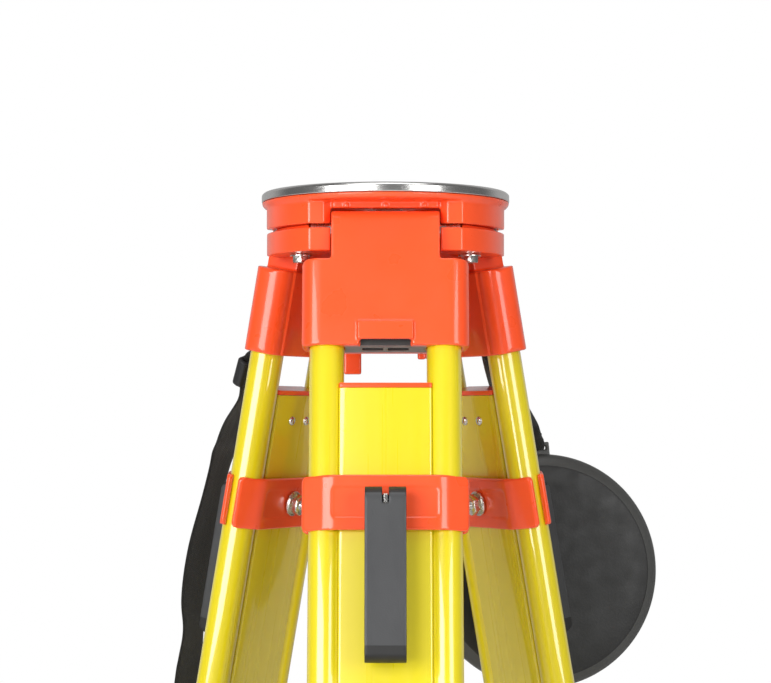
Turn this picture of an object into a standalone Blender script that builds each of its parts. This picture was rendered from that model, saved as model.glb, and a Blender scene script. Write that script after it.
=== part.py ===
"""Surveyor tripod: three telescopic legs of twin tubes and a sliding bar, quick clamps, a flat head
with a fastening screw on a swing arm, a shoulder strap and a head cover hung on its strap.

Metres, +Z up, standing on z = 0. The front leg points along -Y, the right leg to +X +Y and the
left leg to -X +Y. Leg pieces are drawn in the leg's own frame: across = +X, outward = -Y and
down the leg = -Z, with the origin on the hinge axis. Built with Blender 4.5.
"""

import math

import bmesh
import bpy
from mathutils import Matrix, Vector

# ---------------------------------------------------------------- driving dimensions
MM = 0.001
GAP = 0.3 * MM  # between solids that touch

REST_TILT = math.radians(11)  # legs from the vertical, standing
LEG_ANGLES = {"front": 0, "right": 120, "left": -120}  # degrees about the head's axis

# head
FLANGE_R = 82.5 * MM
FLANGE_T = 6 * MM
SKIRT_R = 79.4 * MM
SKIRT_INNER_R = 50 * MM
PLATE_T = 8 * MM
HOLE_R = 32 * MM
CHAMFER_END = 9.5 * MM
SPLIT_TOP = 24.6 * MM
SPLIT_BOTTOM = 27.5 * MM
CAP_BOTTOM = 42.4 * MM
FACET = 62.5 * MM  # flat beside each leg, from the axis
WALL_R = 61 * MM  # wall above each leg's tongue
NOTCH_HALF = 35.3 * MM
NOTCH_TOP = 16.6 * MM
HINGE_R = 54.5 * MM
HINGE_DROP = 28.5 * MM  # hinge axis below the head's top face
SHAFT_R = 4.5 * MM
SHAFT_HALF = 48 * MM
CAP_BOLT_R = 63.5 * MM

# leg, measured down from the hinge axis
TUBE_R = 11.1 * MM
TUBE_WALL = 2.5 * MM
TUBE_X = 37.2 * MM
TONGUE_HALF = 34.6 * MM
BARREL_R = 10.5 * MM
BODY_HALF = 53.3 * MM
BODY_DEPTH = 14.5 * MM
BODY_TOP = 22 * MM
BODY_BOTTOM = 77.3 * MM
BAR_TOP = 101.4 * MM
BAR_HALF = 29.25 * MM
BAR_THICK = 10 * MM  # half
GROOVE_R = 11.5 * MM
CLAMP_TOP = 161.7 * MM
CLAMP_BOTTOM = 196.2 * MM
CLAMP_HALF = 52.4 * MM
CLAMP_FACE = 16.5 * MM
PIN_DOWN = 179 * MM
PIN_OUT = 25.5 * MM
LEVER_HALF = 12.75 * MM
LEVER_END = 279 * MM
LEVER_OUT = 35.5 * MM
COLLAR_TOP = 880 * MM
COLLAR_BOTTOM = 925 * MM
TAB_OUT = 18 * MM
TAB_FAR = 49 * MM  # across
TAB_DOWN = 916 * MM
CORNER = 12 * MM
TUBE_END = 915 * MM
FOOT_TOP = COLLAR_BOTTOM + 2 * GAP
BAR_END = 965 * MM
FOOT_BOTTOM = 1010 * MM
TIP = 1035 * MM
TIP_R = 2 * MM
TREAD_OUT = 40 * MM
TREAD_DOWN = 972 * MM
TREAD_HALF = 13 * MM

# fastening screw and its arm, heights below the head's top face
ARM_PIVOT_Y = 40 * MM
ARM_TOP = 13 * MM
ARM_BOTTOM = 19 * MM
ARM_HALF = 17 * MM
SCREW_R = 7.9 * MM
BUSH_R = 10 * MM
BUSH_TRAVEL = 8 * MM

# head cover, hung beside the right leg
COVER_R = 84 * MM
COVER_DEPTH = 14 * MM
COVER_WALL = 2 * MM
COVER_X = 112 * MM
COVER_Y = 129 * MM
COVER_DROP = 259 * MM
COVER_TURN = math.radians(8)
LUG_TURN = math.radians(5.5)
LUG_HALF = 14 * MM

# webbing
STRAP_T = 1.8 * MM
STRAP_HALF = 15 * MM
COVER_STRAP_HALF = 16 * MM

HEAD_TOP = TIP * math.cos(REST_TILT) + TIP_R * math.sin(REST_TILT) + HINGE_DROP


def reach(down, out):
    """Distance from the head's axis of a point of a standing leg."""
    return HINGE_R + down * math.sin(REST_TILT) + out * math.cos(REST_TILT)


# The box of the standing tripod is centred on the origin. The strap's tab on the left lower collar is
# the rearmost point and the front foot's tread the foremost, so the head's axis is behind the origin.
FRONT_REACH = reach(TREAD_DOWN, TREAD_OUT)
BACK_REACH = reach(TAB_DOWN, TAB_OUT) / 2 + TAB_FAR * math.cos(math.radians(30))
AXIS_Y = (FRONT_REACH - BACK_REACH) / 2

# ---------------------------------------------------------------- scene, materials
for old in list(bpy.data.objects):
    bpy.data.objects.remove(old, do_unlink=True)

PARTS = bpy.data.collections.new("surveyor_tripod")
bpy.context.scene.collection.children.link(PARTS)


def paint(name, colour, roughness, metallic=0.0):
    made = bpy.data.materials.new(name)
    made.use_nodes = True
    shader = made.node_tree.nodes["Principled BSDF"]
    shader.inputs["Base Color"].default_value = (*colour, 1)
    shader.inputs["Roughness"].default_value = roughness
    shader.inputs["Metallic"].default_value = metallic
    return made


ORANGE = paint("orange_paint", (0.90, 0.09, 0.01), 0.3)
YELLOW = paint("yellow_fibreglass", (0.93, 0.75, 0.02), 0.25)
STEEL = paint("bright_steel", (0.62, 0.61, 0.58), 0.3, 1.0)
BLACK = paint("black_plastic", (0.03, 0.03, 0.03), 0.5)
RUBBER = paint("cover_plastic", (0.04, 0.04, 0.04), 0.6)
WEBBING = paint("black_webbing", (0.015, 0.015, 0.015), 0.9)
BRASS = paint("brass", (0.65, 0.45, 0.15), 0.35, 1.0)

# ---------------------------------------------------------------- shape helpers


def leg_point(across, out, down):
    return Vector((across, -out, -down))


def shape(bm):
    """A temporary object for a finished bmesh."""
    bmesh.ops.recalc_face_normals(bm, faces=bm.faces)
    mesh = bpy.data.meshes.new("shape")
    bm.to_mesh(mesh)
    bm.free()
    made = bpy.data.objects.new("shape", mesh)
    bpy.context.scene.collection.objects.link(made)
    return made


def block(low, high):
    low, high = Vector(low), Vector(high)
    bm = bmesh.new()
    size = Matrix.Diagonal((*(high - low), 1))
    bmesh.ops.create_cube(bm, size=1, matrix=Matrix.Translation((low + high) / 2) @ size)
    return shape(bm)


def rod(start, end, radius, end_radius=None, segments=24):
    """A cylinder or cone between two points."""
    start, end = Vector(start), Vector(end)
    along = end - start
    turn = along.to_track_quat("Z", "Y").to_matrix().to_4x4()
    bm = bmesh.new()
    bmesh.ops.create_cone(
        bm,
        cap_ends=True,
        segments=segments,
        radius1=radius,
        radius2=radius if end_radius is None else end_radius,
        depth=along.length,
        matrix=Matrix.Translation((start + end) / 2) @ turn,
    )
    return shape(bm)


def prism(outline, offset):
    """A closed outline of 3D points, pushed along offset."""
    bm = bmesh.new()
    face = bm.faces.new([bm.verts.new(point) for point in outline])
    pushed = bmesh.ops.extrude_face_region(bm, geom=[face])["geom"]
    moved = [item for item in pushed if isinstance(item, bmesh.types.BMVert)]
    bmesh.ops.translate(bm, verts=moved, vec=offset)
    return shape(bm)


def column(outline, top, bottom):
    """An outline of (across, out) pairs, extruded down the leg from top to bottom."""
    points = [leg_point(across, out, top) for across, out in outline]
    return prism(points, (0, 0, top - bottom))


def loft(outlines):
    """Joins outlines of 3D points, all with the same count, and closes both ends."""
    bm = bmesh.new()
    rings = [[bm.verts.new(point) for point in outline] for outline in outlines]
    count = len(rings[0])
    for upper, lower in zip(rings, rings[1:]):
        for i in range(count):
            j = (i + 1) % count
            bm.faces.new((upper[i], upper[j], lower[j], lower[i]))
    bm.faces.new(rings[0])
    bm.faces.new(rings[-1])
    return shape(bm)


def turned(profile, segments, at=(0, 0, 0)):
    """A profile of (radius, height) points, all off the axis, turned about Z into a closed ring."""
    bm = bmesh.new()
    verts = [bm.verts.new((radius, 0, height)) for radius, height in profile]
    for one, two in zip(verts, verts[1:] + verts[:1]):
        bm.edges.new((one, two))
    mesh = bpy.data.meshes.new("profile")
    bm.to_mesh(mesh)
    bm.free()
    made = bpy.data.objects.new("profile", mesh)
    bpy.context.scene.collection.objects.link(made)
    screw = made.modifiers.new("turn", "SCREW")
    screw.steps = screw.render_steps = segments
    screw.use_merge_vertices = True
    screw.merge_threshold = 0.00005
    solid = evaluated(made)
    bm = bmesh.new()
    bm.from_mesh(solid)
    bmesh.ops.translate(bm, verts=bm.verts, vec=at)
    bpy.data.meshes.remove(solid)
    return shape(bm)


def arc(centre_x, centre_y, radius, start, end, steps):
    """Points of an arc, angles in degrees."""
    angles = (math.radians(start + (end - start) * i / steps) for i in range(steps + 1))
    return [(centre_x + radius * math.cos(a), centre_y + radius * math.sin(a)) for a in angles]


def rounded(half_x, half_y, radius, steps=4):
    outline = []
    for sign_x, sign_y, start in ((1, 1, 0), (-1, 1, 90), (-1, -1, 180), (1, -1, 270)):
        centre = (sign_x * (half_x - radius), sign_y * (half_y - radius))
        outline += arc(*centre, radius, start, start + 90, steps)
    return outline


def evaluated(made):
    """The object's final mesh; the object is removed."""
    bpy.context.view_layer.update()
    graph = bpy.context.evaluated_depsgraph_get()
    mesh = bpy.data.meshes.new_from_object(made.evaluated_get(graph))
    bpy.data.objects.remove(made, do_unlink=True)
    return mesh


def carve(base, joined=(), cut=(), soften=0.0):
    """Joins shapes to base, then cuts others from it, and gives the finished mesh."""
    for operation, others in (("UNION", joined), ("DIFFERENCE", cut)):
        for other in others:
            boolean = base.modifiers.new("boolean", "BOOLEAN")
            boolean.operation = operation
            boolean.object = other
    if soften:
        bevel = base.modifiers.new("soften", "BEVEL")
        bevel.width = soften
        bevel.segments = 1
        bevel.limit_method = "ANGLE"
        bevel.angle_limit = math.radians(50)
    mesh = evaluated(base)
    for other in (*joined, *cut):
        bpy.data.objects.remove(other, do_unlink=True)
    mesh.shade_smooth()
    mesh.set_sharp_from_angle(angle=math.radians(35))
    return mesh


def place(name, mesh, material, parent):
    mesh.materials.clear()
    mesh.materials.append(material)
    made = bpy.data.objects.new(name, mesh)
    made.parent = parent
    PARTS.objects.link(made)
    return made


def empty(name, parent=None, location=(0, 0, 0), rotation=(0, 0, 0)):
    made = bpy.data.objects.new(name, None)
    made.location = location
    made.rotation_euler = rotation
    made.parent = parent
    PARTS.objects.link(made)
    return made


# ---------------------------------------------------------------- head


def head_block(angle, low, high):
    """A block in the frame of the leg at this angle: across, out from the axis, below the top."""
    made = block(
        (low[0], -high[1], -high[2]),
        (high[0], -low[1], -low[2]),
    )
    made.data.transform(Matrix.Rotation(math.radians(angle), 4, "Z"))
    return made


def leg_notch(angle, far):
    """Room for a leg's tongue, stepped back to the wall above it."""
    high, step, low = -CHAMFER_END - 0.2 * MM, -NOTCH_TOP, -40 * MM
    side = [(30 * MM, low), (30 * MM, step), (WALL_R, step), (WALL_R, high), (far, high), (far, low)]
    made = prism([(-NOTCH_HALF, -y, z) for y, z in side], (2 * NOTCH_HALF, 0, 0))
    made.data.transform(Matrix.Rotation(math.radians(angle), 4, "Z"))
    return made


def shaft_bore(angle, radius):
    made = rod((-SHAFT_HALF - GAP, -HINGE_R, -HINGE_DROP), (SHAFT_HALF + GAP, -HINGE_R, -HINGE_DROP), radius)
    made.data.transform(Matrix.Rotation(math.radians(angle), 4, "Z"))
    return made


def head_casting():
    profile = [
        (HOLE_R, 0),
        (FLANGE_R - 1 * MM, 0),
        (FLANGE_R, -1 * MM),
        (FLANGE_R, -FLANGE_T),
        (SKIRT_R, -CHAMFER_END),
        (SKIRT_R, -SPLIT_TOP),
        (SKIRT_INNER_R, -SPLIT_TOP),
        (SKIRT_INNER_R, -PLATE_T),
        (HOLE_R, -PLATE_T),
    ]
    base = turned(profile, 72)
    far = 95 * MM
    cuts = []
    for angle in LEG_ANGLES.values():
        facet = (-60 * MM, FACET, CHAMFER_END + 0.4 * MM), (60 * MM, far, 40 * MM)
        cuts += [leg_notch(angle, far), head_block(angle, *facet), shaft_bore(angle, SHAFT_R + GAP)]
        turn = Matrix.Rotation(math.radians(angle + 60), 3, "Z")
        at = turn @ Vector((0, -CAP_BOLT_R, 0))
        cuts.append(rod(at - Vector((0, 0, 40 * MM)), at - Vector((0, 0, 13 * MM)), 3.3 * MM, segments=12))
    boss = rod((0, ARM_PIVOT_Y, -PLATE_T + 1 * MM), (0, ARM_PIVOT_Y, -ARM_TOP + 0.5 * MM), 7.5 * MM)
    pivot_hole = rod((0, ARM_PIVOT_Y, -30 * MM), (0, ARM_PIVOT_Y, -4 * MM), 3.3 * MM, segments=16)
    return carve(base, joined=[boss], cut=[*cuts, pivot_hole])


def hinge_cap():
    """The lower half of the shaft clamps, drawn towards -Y between two legs."""
    turn = Matrix.Rotation(math.radians(-60), 2)
    facet_end = math.sqrt(SKIRT_R**2 - FACET**2)
    side = [turn @ Vector(p) for p in ((NOTCH_HALF, -47 * MM), (NOTCH_HALF, -FACET), (facet_end, -FACET))]
    start = math.degrees(math.atan2(side[2].y, side[2].x))
    outer = arc(0, 0, SKIRT_R, start, -180 - start, 8)
    other = [Vector((-p.x, p.y)) for p in side]
    outline = [(p.x, p.y) for p in side[:2]] + outer + [(p.x, p.y) for p in reversed(other[:2])]
    points = [(x, y, -SPLIT_BOTTOM) for x, y in outline]
    base = prism(points, (0, 0, SPLIT_BOTTOM - CAP_BOTTOM))
    bores = [shaft_bore(60, SHAFT_R + GAP), shaft_bore(-60, SHAFT_R + GAP)]
    hole = rod((0, -CAP_BOLT_R, -60 * MM), (0, -CAP_BOLT_R, -20 * MM), 3.3 * MM, segments=12)
    return carve(base, cut=[*bores, hole])


def cap_bolt():
    top, under = -15 * MM, -CAP_BOTTOM - GAP
    shank = rod((0, -CAP_BOLT_R, top), (0, -CAP_BOLT_R, under - 1 * MM), 3 * MM, segments=12)
    washer = rod((0, -CAP_BOLT_R, under), (0, -CAP_BOLT_R, under - 1.5 * MM), 7 * MM, segments=24)
    hexagon = rod((0, -CAP_BOLT_R, under - 1 * MM), (0, -CAP_BOLT_R, under - 7 * MM), 5.8 * MM, segments=6)
    return carve(shank, joined=[washer, hexagon])


def screw_arm():
    """Swings under the plate; a slot holds the bushing, and two ears carry the guards beside the knob."""
    outline = arc(0, ARM_PIVOT_Y, 9 * MM, 0, 180, 8)
    left = [(-17, 18), (-17, 15), (-27.6, 15), (-27.6, 3), (-17, 3), (-17, -19), (-13, -23)]
    right = [(13, -23), (17, -19), (17, 3), (26.5, 3), (26.5, 15), (17, 15), (17, 18)]
    outline += [(x * MM, y * MM) for x, y in left + right]
    base = prism([(x, y, -ARM_TOP) for x, y in outline], (0, 0, ARM_TOP - ARM_BOTTOM))
    half, travel = BUSH_R + GAP, BUSH_R + GAP + BUSH_TRAVEL
    slot = block((-half, -travel, -40 * MM), (half, travel, 0))
    hole = rod((0, ARM_PIVOT_Y, -40 * MM), (0, ARM_PIVOT_Y, 0), 3.3 * MM, segments=16)
    return carve(base, cut=[slot, hole])


def arm_guard_left():
    return carve(block((-27.6 * MM, 3 * MM, -120 * MM), (-16.2 * MM, 15 * MM, -ARM_BOTTOM - 0.05 * MM)))


def arm_guard_right():
    top = -ARM_BOTTOM - 0.05 * MM
    step = block((16.2 * MM, 3 * MM, -24 * MM), (26.5 * MM, 15 * MM, top))
    tail = block((21.5 * MM, 3 * MM, -110 * MM), (26.5 * MM, 15 * MM, top - 0.5 * MM))
    return carve(step, joined=[tail])


def arm_pivot():
    shank = rod((0, ARM_PIVOT_Y, -5 * MM), (0, ARM_PIVOT_Y, -21 * MM), 3 * MM, segments=16)
    head = rod((0, ARM_PIVOT_Y, -ARM_BOTTOM - GAP), (0, ARM_PIVOT_Y, -24 * MM), 6.5 * MM, segments=6)
    return carve(shank, joined=[head])


def screw_bushing():
    bore = SCREW_R + GAP
    profile = [
        (bore, -10.8 * MM),
        (12 * MM, -10.8 * MM),
        (12 * MM, -ARM_TOP + GAP),
        (BUSH_R, -ARM_TOP + GAP),
        (BUSH_R, -ARM_BOTTOM - GAP),
        (14 * MM, -ARM_BOTTOM - GAP),
        (14 * MM, -23 * MM),
        (bore, -23 * MM),
    ]
    return carve(turned(profile, 24))


def fastening_screw():
    shank = rod((0, 0, -4 * MM), (0, 0, -69 * MM), SCREW_R, segments=24)
    tip = rod((0, 0, -5.5 * MM), (0, 0, -1.5 * MM), SCREW_R - 0.4 * MM, 6.2 * MM, segments=24)
    lip = rod((0, 0, -8 * MM), (0, 0, -6.5 * MM), 9.2 * MM, segments=24)
    return carve(shank, joined=[tip, lip])


def screw_knob():
    bore, outer = SCREW_R + GAP, 15.5 * MM
    top, bottom, round_off = -44 * MM, -68 * MM, 1.5 * MM
    profile = [
        (bore, top),
        (outer - round_off, top),
        (outer, top - round_off),
        (outer, bottom + round_off),
        (outer - round_off, bottom),
        (bore, bottom),
    ]
    return carve(turned(profile, 36))


# ---------------------------------------------------------------- leg


def tube_pair(radius, top, bottom):
    """Two cylinders where the leg's tubes stand."""
    ends = [(leg_point(side * TUBE_X, 0, top), leg_point(side * TUBE_X, 0, bottom)) for side in (-1, 1)]
    return [rod(start, end, radius, segments=32) for start, end in ends]


def bar_outline(half_x, half_y, groove):
    """The bar's section: flat faces, with grooves that cradle the tubes."""
    lip = math.degrees(math.acos((TUBE_X - half_x) / groove))
    right = arc(TUBE_X, 0, groove, 180 - lip, 180 + lip, 8)
    left = arc(-TUBE_X, 0, groove, -lip, lip, 8)
    return [(half_x, half_y)] + right + [(half_x, -half_y), (-half_x, -half_y)] + left + [(-half_x, half_y)]


def hinge_casting():
    base = column(rounded(BODY_HALF, BODY_DEPTH, CORNER), BODY_TOP, BODY_BOTTOM)
    over = [(-out, -down) for out, down in arc(0, 0, BARREL_R, -170, 10, 14)]
    foot = BODY_TOP + 2 * MM
    section = [(out, down) for out, down in reversed(over)]
    section = [(-BARREL_R, foot), (-BARREL_R, 0)] + arc(0, 0, BARREL_R, 180, 360, 14) + [(BODY_DEPTH, foot)]
    points = [leg_point(-TONGUE_HALF, out, down) for out, down in section]
    tongue = prism(points, (2 * TONGUE_HALF, 0, 0))
    tab = block(leg_point(-17.5 * MM, 17 * MM, 74.5 * MM), leg_point(17.5 * MM, 12 * MM, 60 * MM))
    bore = rod(leg_point(-60 * MM, 0, 0), leg_point(60 * MM, 0, 0), SHAFT_R + GAP)
    slot = block(leg_point(-16 * MM, 13.6 * MM, 80 * MM), leg_point(16 * MM, 9 * MM, 62 * MM))
    mouth = block(leg_point(-17.5 * MM, 20 * MM, 80 * MM), leg_point(17.5 * MM, 9.5 * MM, 74.5 * MM))
    pockets = [
        block(leg_point(near, 7 * MM, 80 * MM), leg_point(far, -11.5 * MM, 56 * MM))
        for near, far in ((-12.6 * MM, -2 * MM), (2 * MM, 12.6 * MM))
    ]
    sockets = tube_pair(TUBE_R + GAP, 38 * MM, 90 * MM)
    return carve(base, joined=[tongue, tab], cut=[bore, slot, mouth, *pockets, *sockets])


def hinge_shaft():
    return carve(rod(leg_point(-SHAFT_HALF, 0, 0), leg_point(SHAFT_HALF, 0, 0), SHAFT_R, segments=24))


def leg_tube(side):
    top, bottom = -(38 * MM + GAP), -(TUBE_END - GAP)
    inner = TUBE_R - TUBE_WALL
    profile = [(inner, top), (TUBE_R, top), (TUBE_R, bottom), (inner, bottom)]
    return carve(turned(profile, 32, at=(side * TUBE_X, 0, 0)))


def lower_collar():
    base = column(rounded(BODY_HALF, BODY_DEPTH, CORNER), COLLAR_TOP, COLLAR_BOTTOM)
    play = 0.5 * MM
    opening = bar_outline(BAR_HALF + play, BAR_THICK + play, GROOVE_R - play)
    bar_way = column(opening, COLLAR_TOP - 5 * MM, COLLAR_BOTTOM + 5 * MM)
    wide = column(rounded(BAR_HALF + 2 * MM, BAR_THICK + play, 1 * MM, 1), COLLAR_TOP - 5 * MM, TUBE_END)
    sockets = tube_pair(TUBE_R + GAP, COLLAR_TOP - 5 * MM, TUBE_END)
    tab = block(leg_point(-TAB_FAR, TAB_OUT, TAB_DOWN), leg_point(-15 * MM, 13 * MM, 905 * MM))
    return carve(base, joined=[tab], cut=[bar_way, wide, *sockets])


def extension_bar():
    base = column(bar_outline(BAR_HALF, BAR_THICK, GROOVE_R), BAR_TOP + 4 * MM + GAP, BAR_END - GAP)
    core = block(leg_point(-17 * MM, 6.5 * MM, 990 * MM), leg_point(17 * MM, -6.5 * MM, 90 * MM))
    hole = rod(leg_point(0, 20 * MM, PIN_DOWN), leg_point(0, -20 * MM, PIN_DOWN), 3.8 * MM, segments=16)
    return carve(base, cut=[core, hole])


def bar_cap():
    base = column(bar_outline(BAR_HALF, BAR_THICK, GROOVE_R), BAR_TOP, BAR_TOP + 4 * MM)
    plug = block(leg_point(-16.7 * MM, 6.2 * MM, BAR_TOP + 14 * MM), leg_point(16.7 * MM, -6.2 * MM, BAR_TOP + 3 * MM))
    return carve(base, joined=[plug])


def clamp_plate(face, inner_face, side):
    """One plate of the clamp, wrapped half round both tubes. side is 1 outside, -1 inside."""
    corner, wing, clear = 12 * MM, 3.2 * MM, TUBE_R + GAP
    wing_angle = math.degrees(math.asin(wing / clear))
    start = (CLAMP_HALF - corner, face - corner)
    right = arc(*start, corner, 0, 90, 6)
    left = arc(-start[0], start[1], corner, 90, 180, 6)
    hug_right = arc(TUBE_X, 0, clear, 90, wing_angle, 8)
    hug_left = arc(-TUBE_X, 0, clear, 180 - wing_angle, 90, 8)
    outline = [(CLAMP_HALF, wing)] + right + left + [(-CLAMP_HALF, wing)] + hug_left + hug_right
    base = column([(x, side * y) for x, y in outline], CLAMP_TOP, CLAMP_BOTTOM)
    panel = block(
        leg_point(-33.5 * MM, side * (face + 5 * MM), PIN_DOWN + 10 * MM),
        leg_point(33.5 * MM, side * inner_face, PIN_DOWN - 10 * MM),
    )
    fix_box(panel)
    hole = rod(leg_point(0, 30 * MM, PIN_DOWN), leg_point(0, -30 * MM, PIN_DOWN), 3.8 * MM, segments=16)
    return carve(base, cut=[panel, hole])


def fix_box(made):
    """A block given its corners the other way round is inside out; turn its faces back."""
    bm = bmesh.new()
    bm.from_mesh(made.data)
    bmesh.ops.recalc_face_normals(bm, faces=bm.faces)
    bm.to_mesh(made.data)
    bm.free()


def clamp_bolt():
    """A bolt along the leg's depth whose flat end carries the lever's cross pin."""
    shank = rod(leg_point(0, -26 * MM, PIN_DOWN), leg_point(0, 14.3 * MM, PIN_DOWN), 3.5 * MM, segments=16)
    tang = block(
        leg_point(-1.6 * MM, PIN_OUT + 4 * MM, PIN_DOWN + 3 * MM),
        leg_point(1.6 * MM, 11 * MM, PIN_DOWN - 3 * MM),
    )
    fix_box(tang)
    pin = rod(leg_point(-10.5 * MM, PIN_OUT, PIN_DOWN), leg_point(10.5 * MM, PIN_OUT, PIN_DOWN), 2.5 * MM, segments=16)
    return carve(shank, joined=[tang, pin])


def clamp_nut():
    face = -15.5 * MM - GAP
    washer = rod(leg_point(0, face, PIN_DOWN), leg_point(0, face - 1.6 * MM, PIN_DOWN), 8.5 * MM, segments=24)
    nut = rod(leg_point(0, face - 1 * MM, PIN_DOWN), leg_point(0, face - 7.5 * MM, PIN_DOWN), 7.2 * MM, segments=6)
    bore = rod(leg_point(0, -5 * MM, PIN_DOWN), leg_point(0, -40 * MM, PIN_DOWN), 3.8 * MM, segments=16)
    return carve(washer, joined=[nut], cut=[bore])


def clamp_lever():
    """Side view: a round cam about the pin, a straight grip and a round lower end."""
    cam_r, tip_r = LEVER_OUT - PIN_OUT, 5 * MM
    cam = arc(PIN_OUT, PIN_DOWN, cam_r, 360, 180, 12)
    inner = [(16.4 * MM, 186 * MM), (20.5 * MM, 192 * MM), (23 * MM, 201 * MM)]
    end = arc(24 * MM + tip_r, LEVER_END - tip_r, tip_r, 180, 90, 4)
    end += arc(LEVER_OUT - tip_r, LEVER_END - tip_r, tip_r, 90, 0, 4)
    points = [leg_point(-LEVER_HALF, out, down) for out, down in cam + inner + end]
    base = prism(points, (2 * LEVER_HALF, 0, 0))
    slot = block(leg_point(-2 * MM, 45 * MM, PIN_DOWN + 8 * MM), leg_point(2 * MM, 10 * MM, 160 * MM))
    fix_box(slot)
    hole = rod(leg_point(-11 * MM, PIN_OUT, PIN_DOWN), leg_point(11 * MM, PIN_OUT, PIN_DOWN), 2.8 * MM, segments=16)
    return carve(base, cut=[slot, hole])


def foot():
    """A socket round the bar, narrowing to the steel point, with a tread to step on."""
    wide, narrow = rounded(33 * MM, BODY_DEPTH, 6 * MM), rounded(9 * MM, 9 * MM, 6 * MM)
    levels = ((wide, FOOT_TOP), (wide, TREAD_DOWN), (narrow, FOOT_BOTTOM - 8 * MM), (narrow, FOOT_BOTTOM))
    base = loft([[leg_point(across, out, down) for across, out in outline] for outline, down in levels])
    tread = block(
        leg_point(-TREAD_HALF, TREAD_OUT, TREAD_DOWN),
        leg_point(TREAD_HALF, 10 * MM, TREAD_DOWN - 8 * MM),
    )
    fix_box(tread)
    socket = column(bar_outline(BAR_HALF + GAP, BAR_THICK + GAP, GROOVE_R - GAP), FOOT_TOP - 5 * MM, BAR_END)
    hole = rod(leg_point(0, 0, 998 * MM), leg_point(0, 0, FOOT_BOTTOM + 5 * MM), 5 * MM + GAP, segments=24)
    return carve(base, joined=[tread], cut=[socket, hole])


def foot_point():
    spigot = rod(leg_point(0, 0, 999 * MM), leg_point(0, 0, 1012 * MM), 5 * MM, segments=24)
    shoulder = rod(leg_point(0, 0, FOOT_BOTTOM + GAP), leg_point(0, 0, 1017 * MM), 8 * MM, segments=24)
    tip = rod(leg_point(0, 0, 1016.5 * MM), leg_point(0, 0, TIP), 8 * MM, TIP_R, segments=24)
    return carve(spigot, joined=[shoulder, tip])


# ---------------------------------------------------------------- webbing and cover


def smooth_route(points, each):
    """Points along a Catmull-Rom curve through the given ones."""
    ends = [points[0] * 2 - points[1], *points, points[-1] * 2 - points[-2]]
    route = []
    for before, start, end, after in zip(ends, ends[1:], ends[2:], ends[3:]):
        for i in range(each):
            t = i / each
            a = 2 * start
            b = end - before
            c = 2 * before - 5 * start + 4 * end - after
            d = 3 * start - before - 3 * end + after
            route.append((a + b * t + c * t**2 + d * t**3) / 2)
    return [*route, points[-1]]


def ribbon(centres, sideways, half, thickness):
    """A flat strap along centres; sideways gives its width direction at each of them."""
    outlines = []
    for i, (centre, side) in enumerate(zip(centres, sideways)):
        along = (centres[min(i + 1, len(centres) - 1)] - centres[max(i - 1, 0)]).normalized()
        across = (side - along * side.dot(along)).normalized()
        normal = along.cross(across) * thickness / 2
        edge = across * half
        outlines.append([centre - edge - normal, centre + edge - normal, centre + edge + normal, centre - edge + normal])
    return loft(outlines)


# Route of the shoulder strap on the left leg: across, out and down, in mm. It leaves the slot of the
# hinge casting, swings to the side of the lever's path, hangs slack and ends at the lower collar.
STRAP_ROUTE = (
    (0, 11.3, 66),
    (0, 11.8, 77),
    (-1, 19, 84),
    (-4, 28, 95),
    (-12, 40, 112),
    (-25, 57, 138),
    (-32.5, 68, 163),
    (-33, 72, 200),
    (-33, 71.5, 250),
    (-33, 68, 330),
    (-33, 61, 480),
    (-33, 51, 640),
    (-33, 38, 780),
    (-33, 27, 860),
    (-32, 20.5, 897),
    (-32, 19.6, 912),
)


def shoulder_strap():
    points = [leg_point(*(MM * value for value in spot)) for spot in STRAP_ROUTE]
    route = smooth_route(points, 3)
    return carve(ribbon(route, [Vector((1, 0, 0))] * len(route), STRAP_HALF, STRAP_T))


def strap_buckle():
    """A keeper round the strap just below the hinge casting."""
    centre = Vector(leg_point(-4 * MM, 28 * MM, 95 * MM))
    along = leg_point(-11 * MM, 21 * MM, 28 * MM).normalized()
    across = Vector((1, 0, 0))
    across = (across - along * across.dot(along)).normalized()
    normal = along.cross(across)

    def frame(half_x, half_y, half_z):
        corners = ((-half_x, -half_y), (half_x, -half_y), (half_x, half_y), (-half_x, half_y))
        start = centre - along * half_z
        return prism([start + across * x + normal * y for x, y in corners], along * 2 * half_z)

    return carve(frame(19.5 * MM, 4.5 * MM, 6 * MM), cut=[frame(16.6 * MM, 2.2 * MM, 9 * MM)])


def cover_frame():
    """Places the cover's own frame: its face looks along its -Y."""
    at = Vector((COVER_X, AXIS_Y + COVER_Y, HEAD_TOP - COVER_DROP))
    return Matrix.Translation(at) @ Matrix.Rotation(COVER_TURN, 4, "Z")


def head_cover():
    """A shallow cap that fits over the head's flange, with a lug for its strap."""
    inner = COVER_R - COVER_WALL
    bowl = turned(
        [
            (0.5 * MM, COVER_DEPTH),
            (COVER_R - 7 * MM, COVER_DEPTH),
            (COVER_R - 1.5 * MM, COVER_DEPTH - 4 * MM),
            (COVER_R, COVER_DEPTH - 7 * MM),
            (COVER_R, 0),
            (inner, 0),
            (inner, COVER_DEPTH - 6 * MM),
            (inner - 6 * MM, COVER_DEPTH - COVER_WALL),
            (0.5 * MM, COVER_DEPTH - COVER_WALL),
        ],
        64,
    )
    centre = rod((0, 0, COVER_DEPTH - COVER_WALL), (0, 0, COVER_DEPTH), 3 * MM, segments=16)
    lug = block((-LUG_HALF, COVER_R - 4 * MM, 1 * MM), (LUG_HALF, COVER_R + 8 * MM, 5 * MM))
    lug.data.transform(Matrix.Rotation(LUG_TURN, 4, "Z"))
    stand = Matrix.Rotation(math.radians(90), 4, "X")
    for made in (bowl, centre, lug):
        made.data.transform(stand)
    return carve(bowl, joined=[centre, lug])


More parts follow.
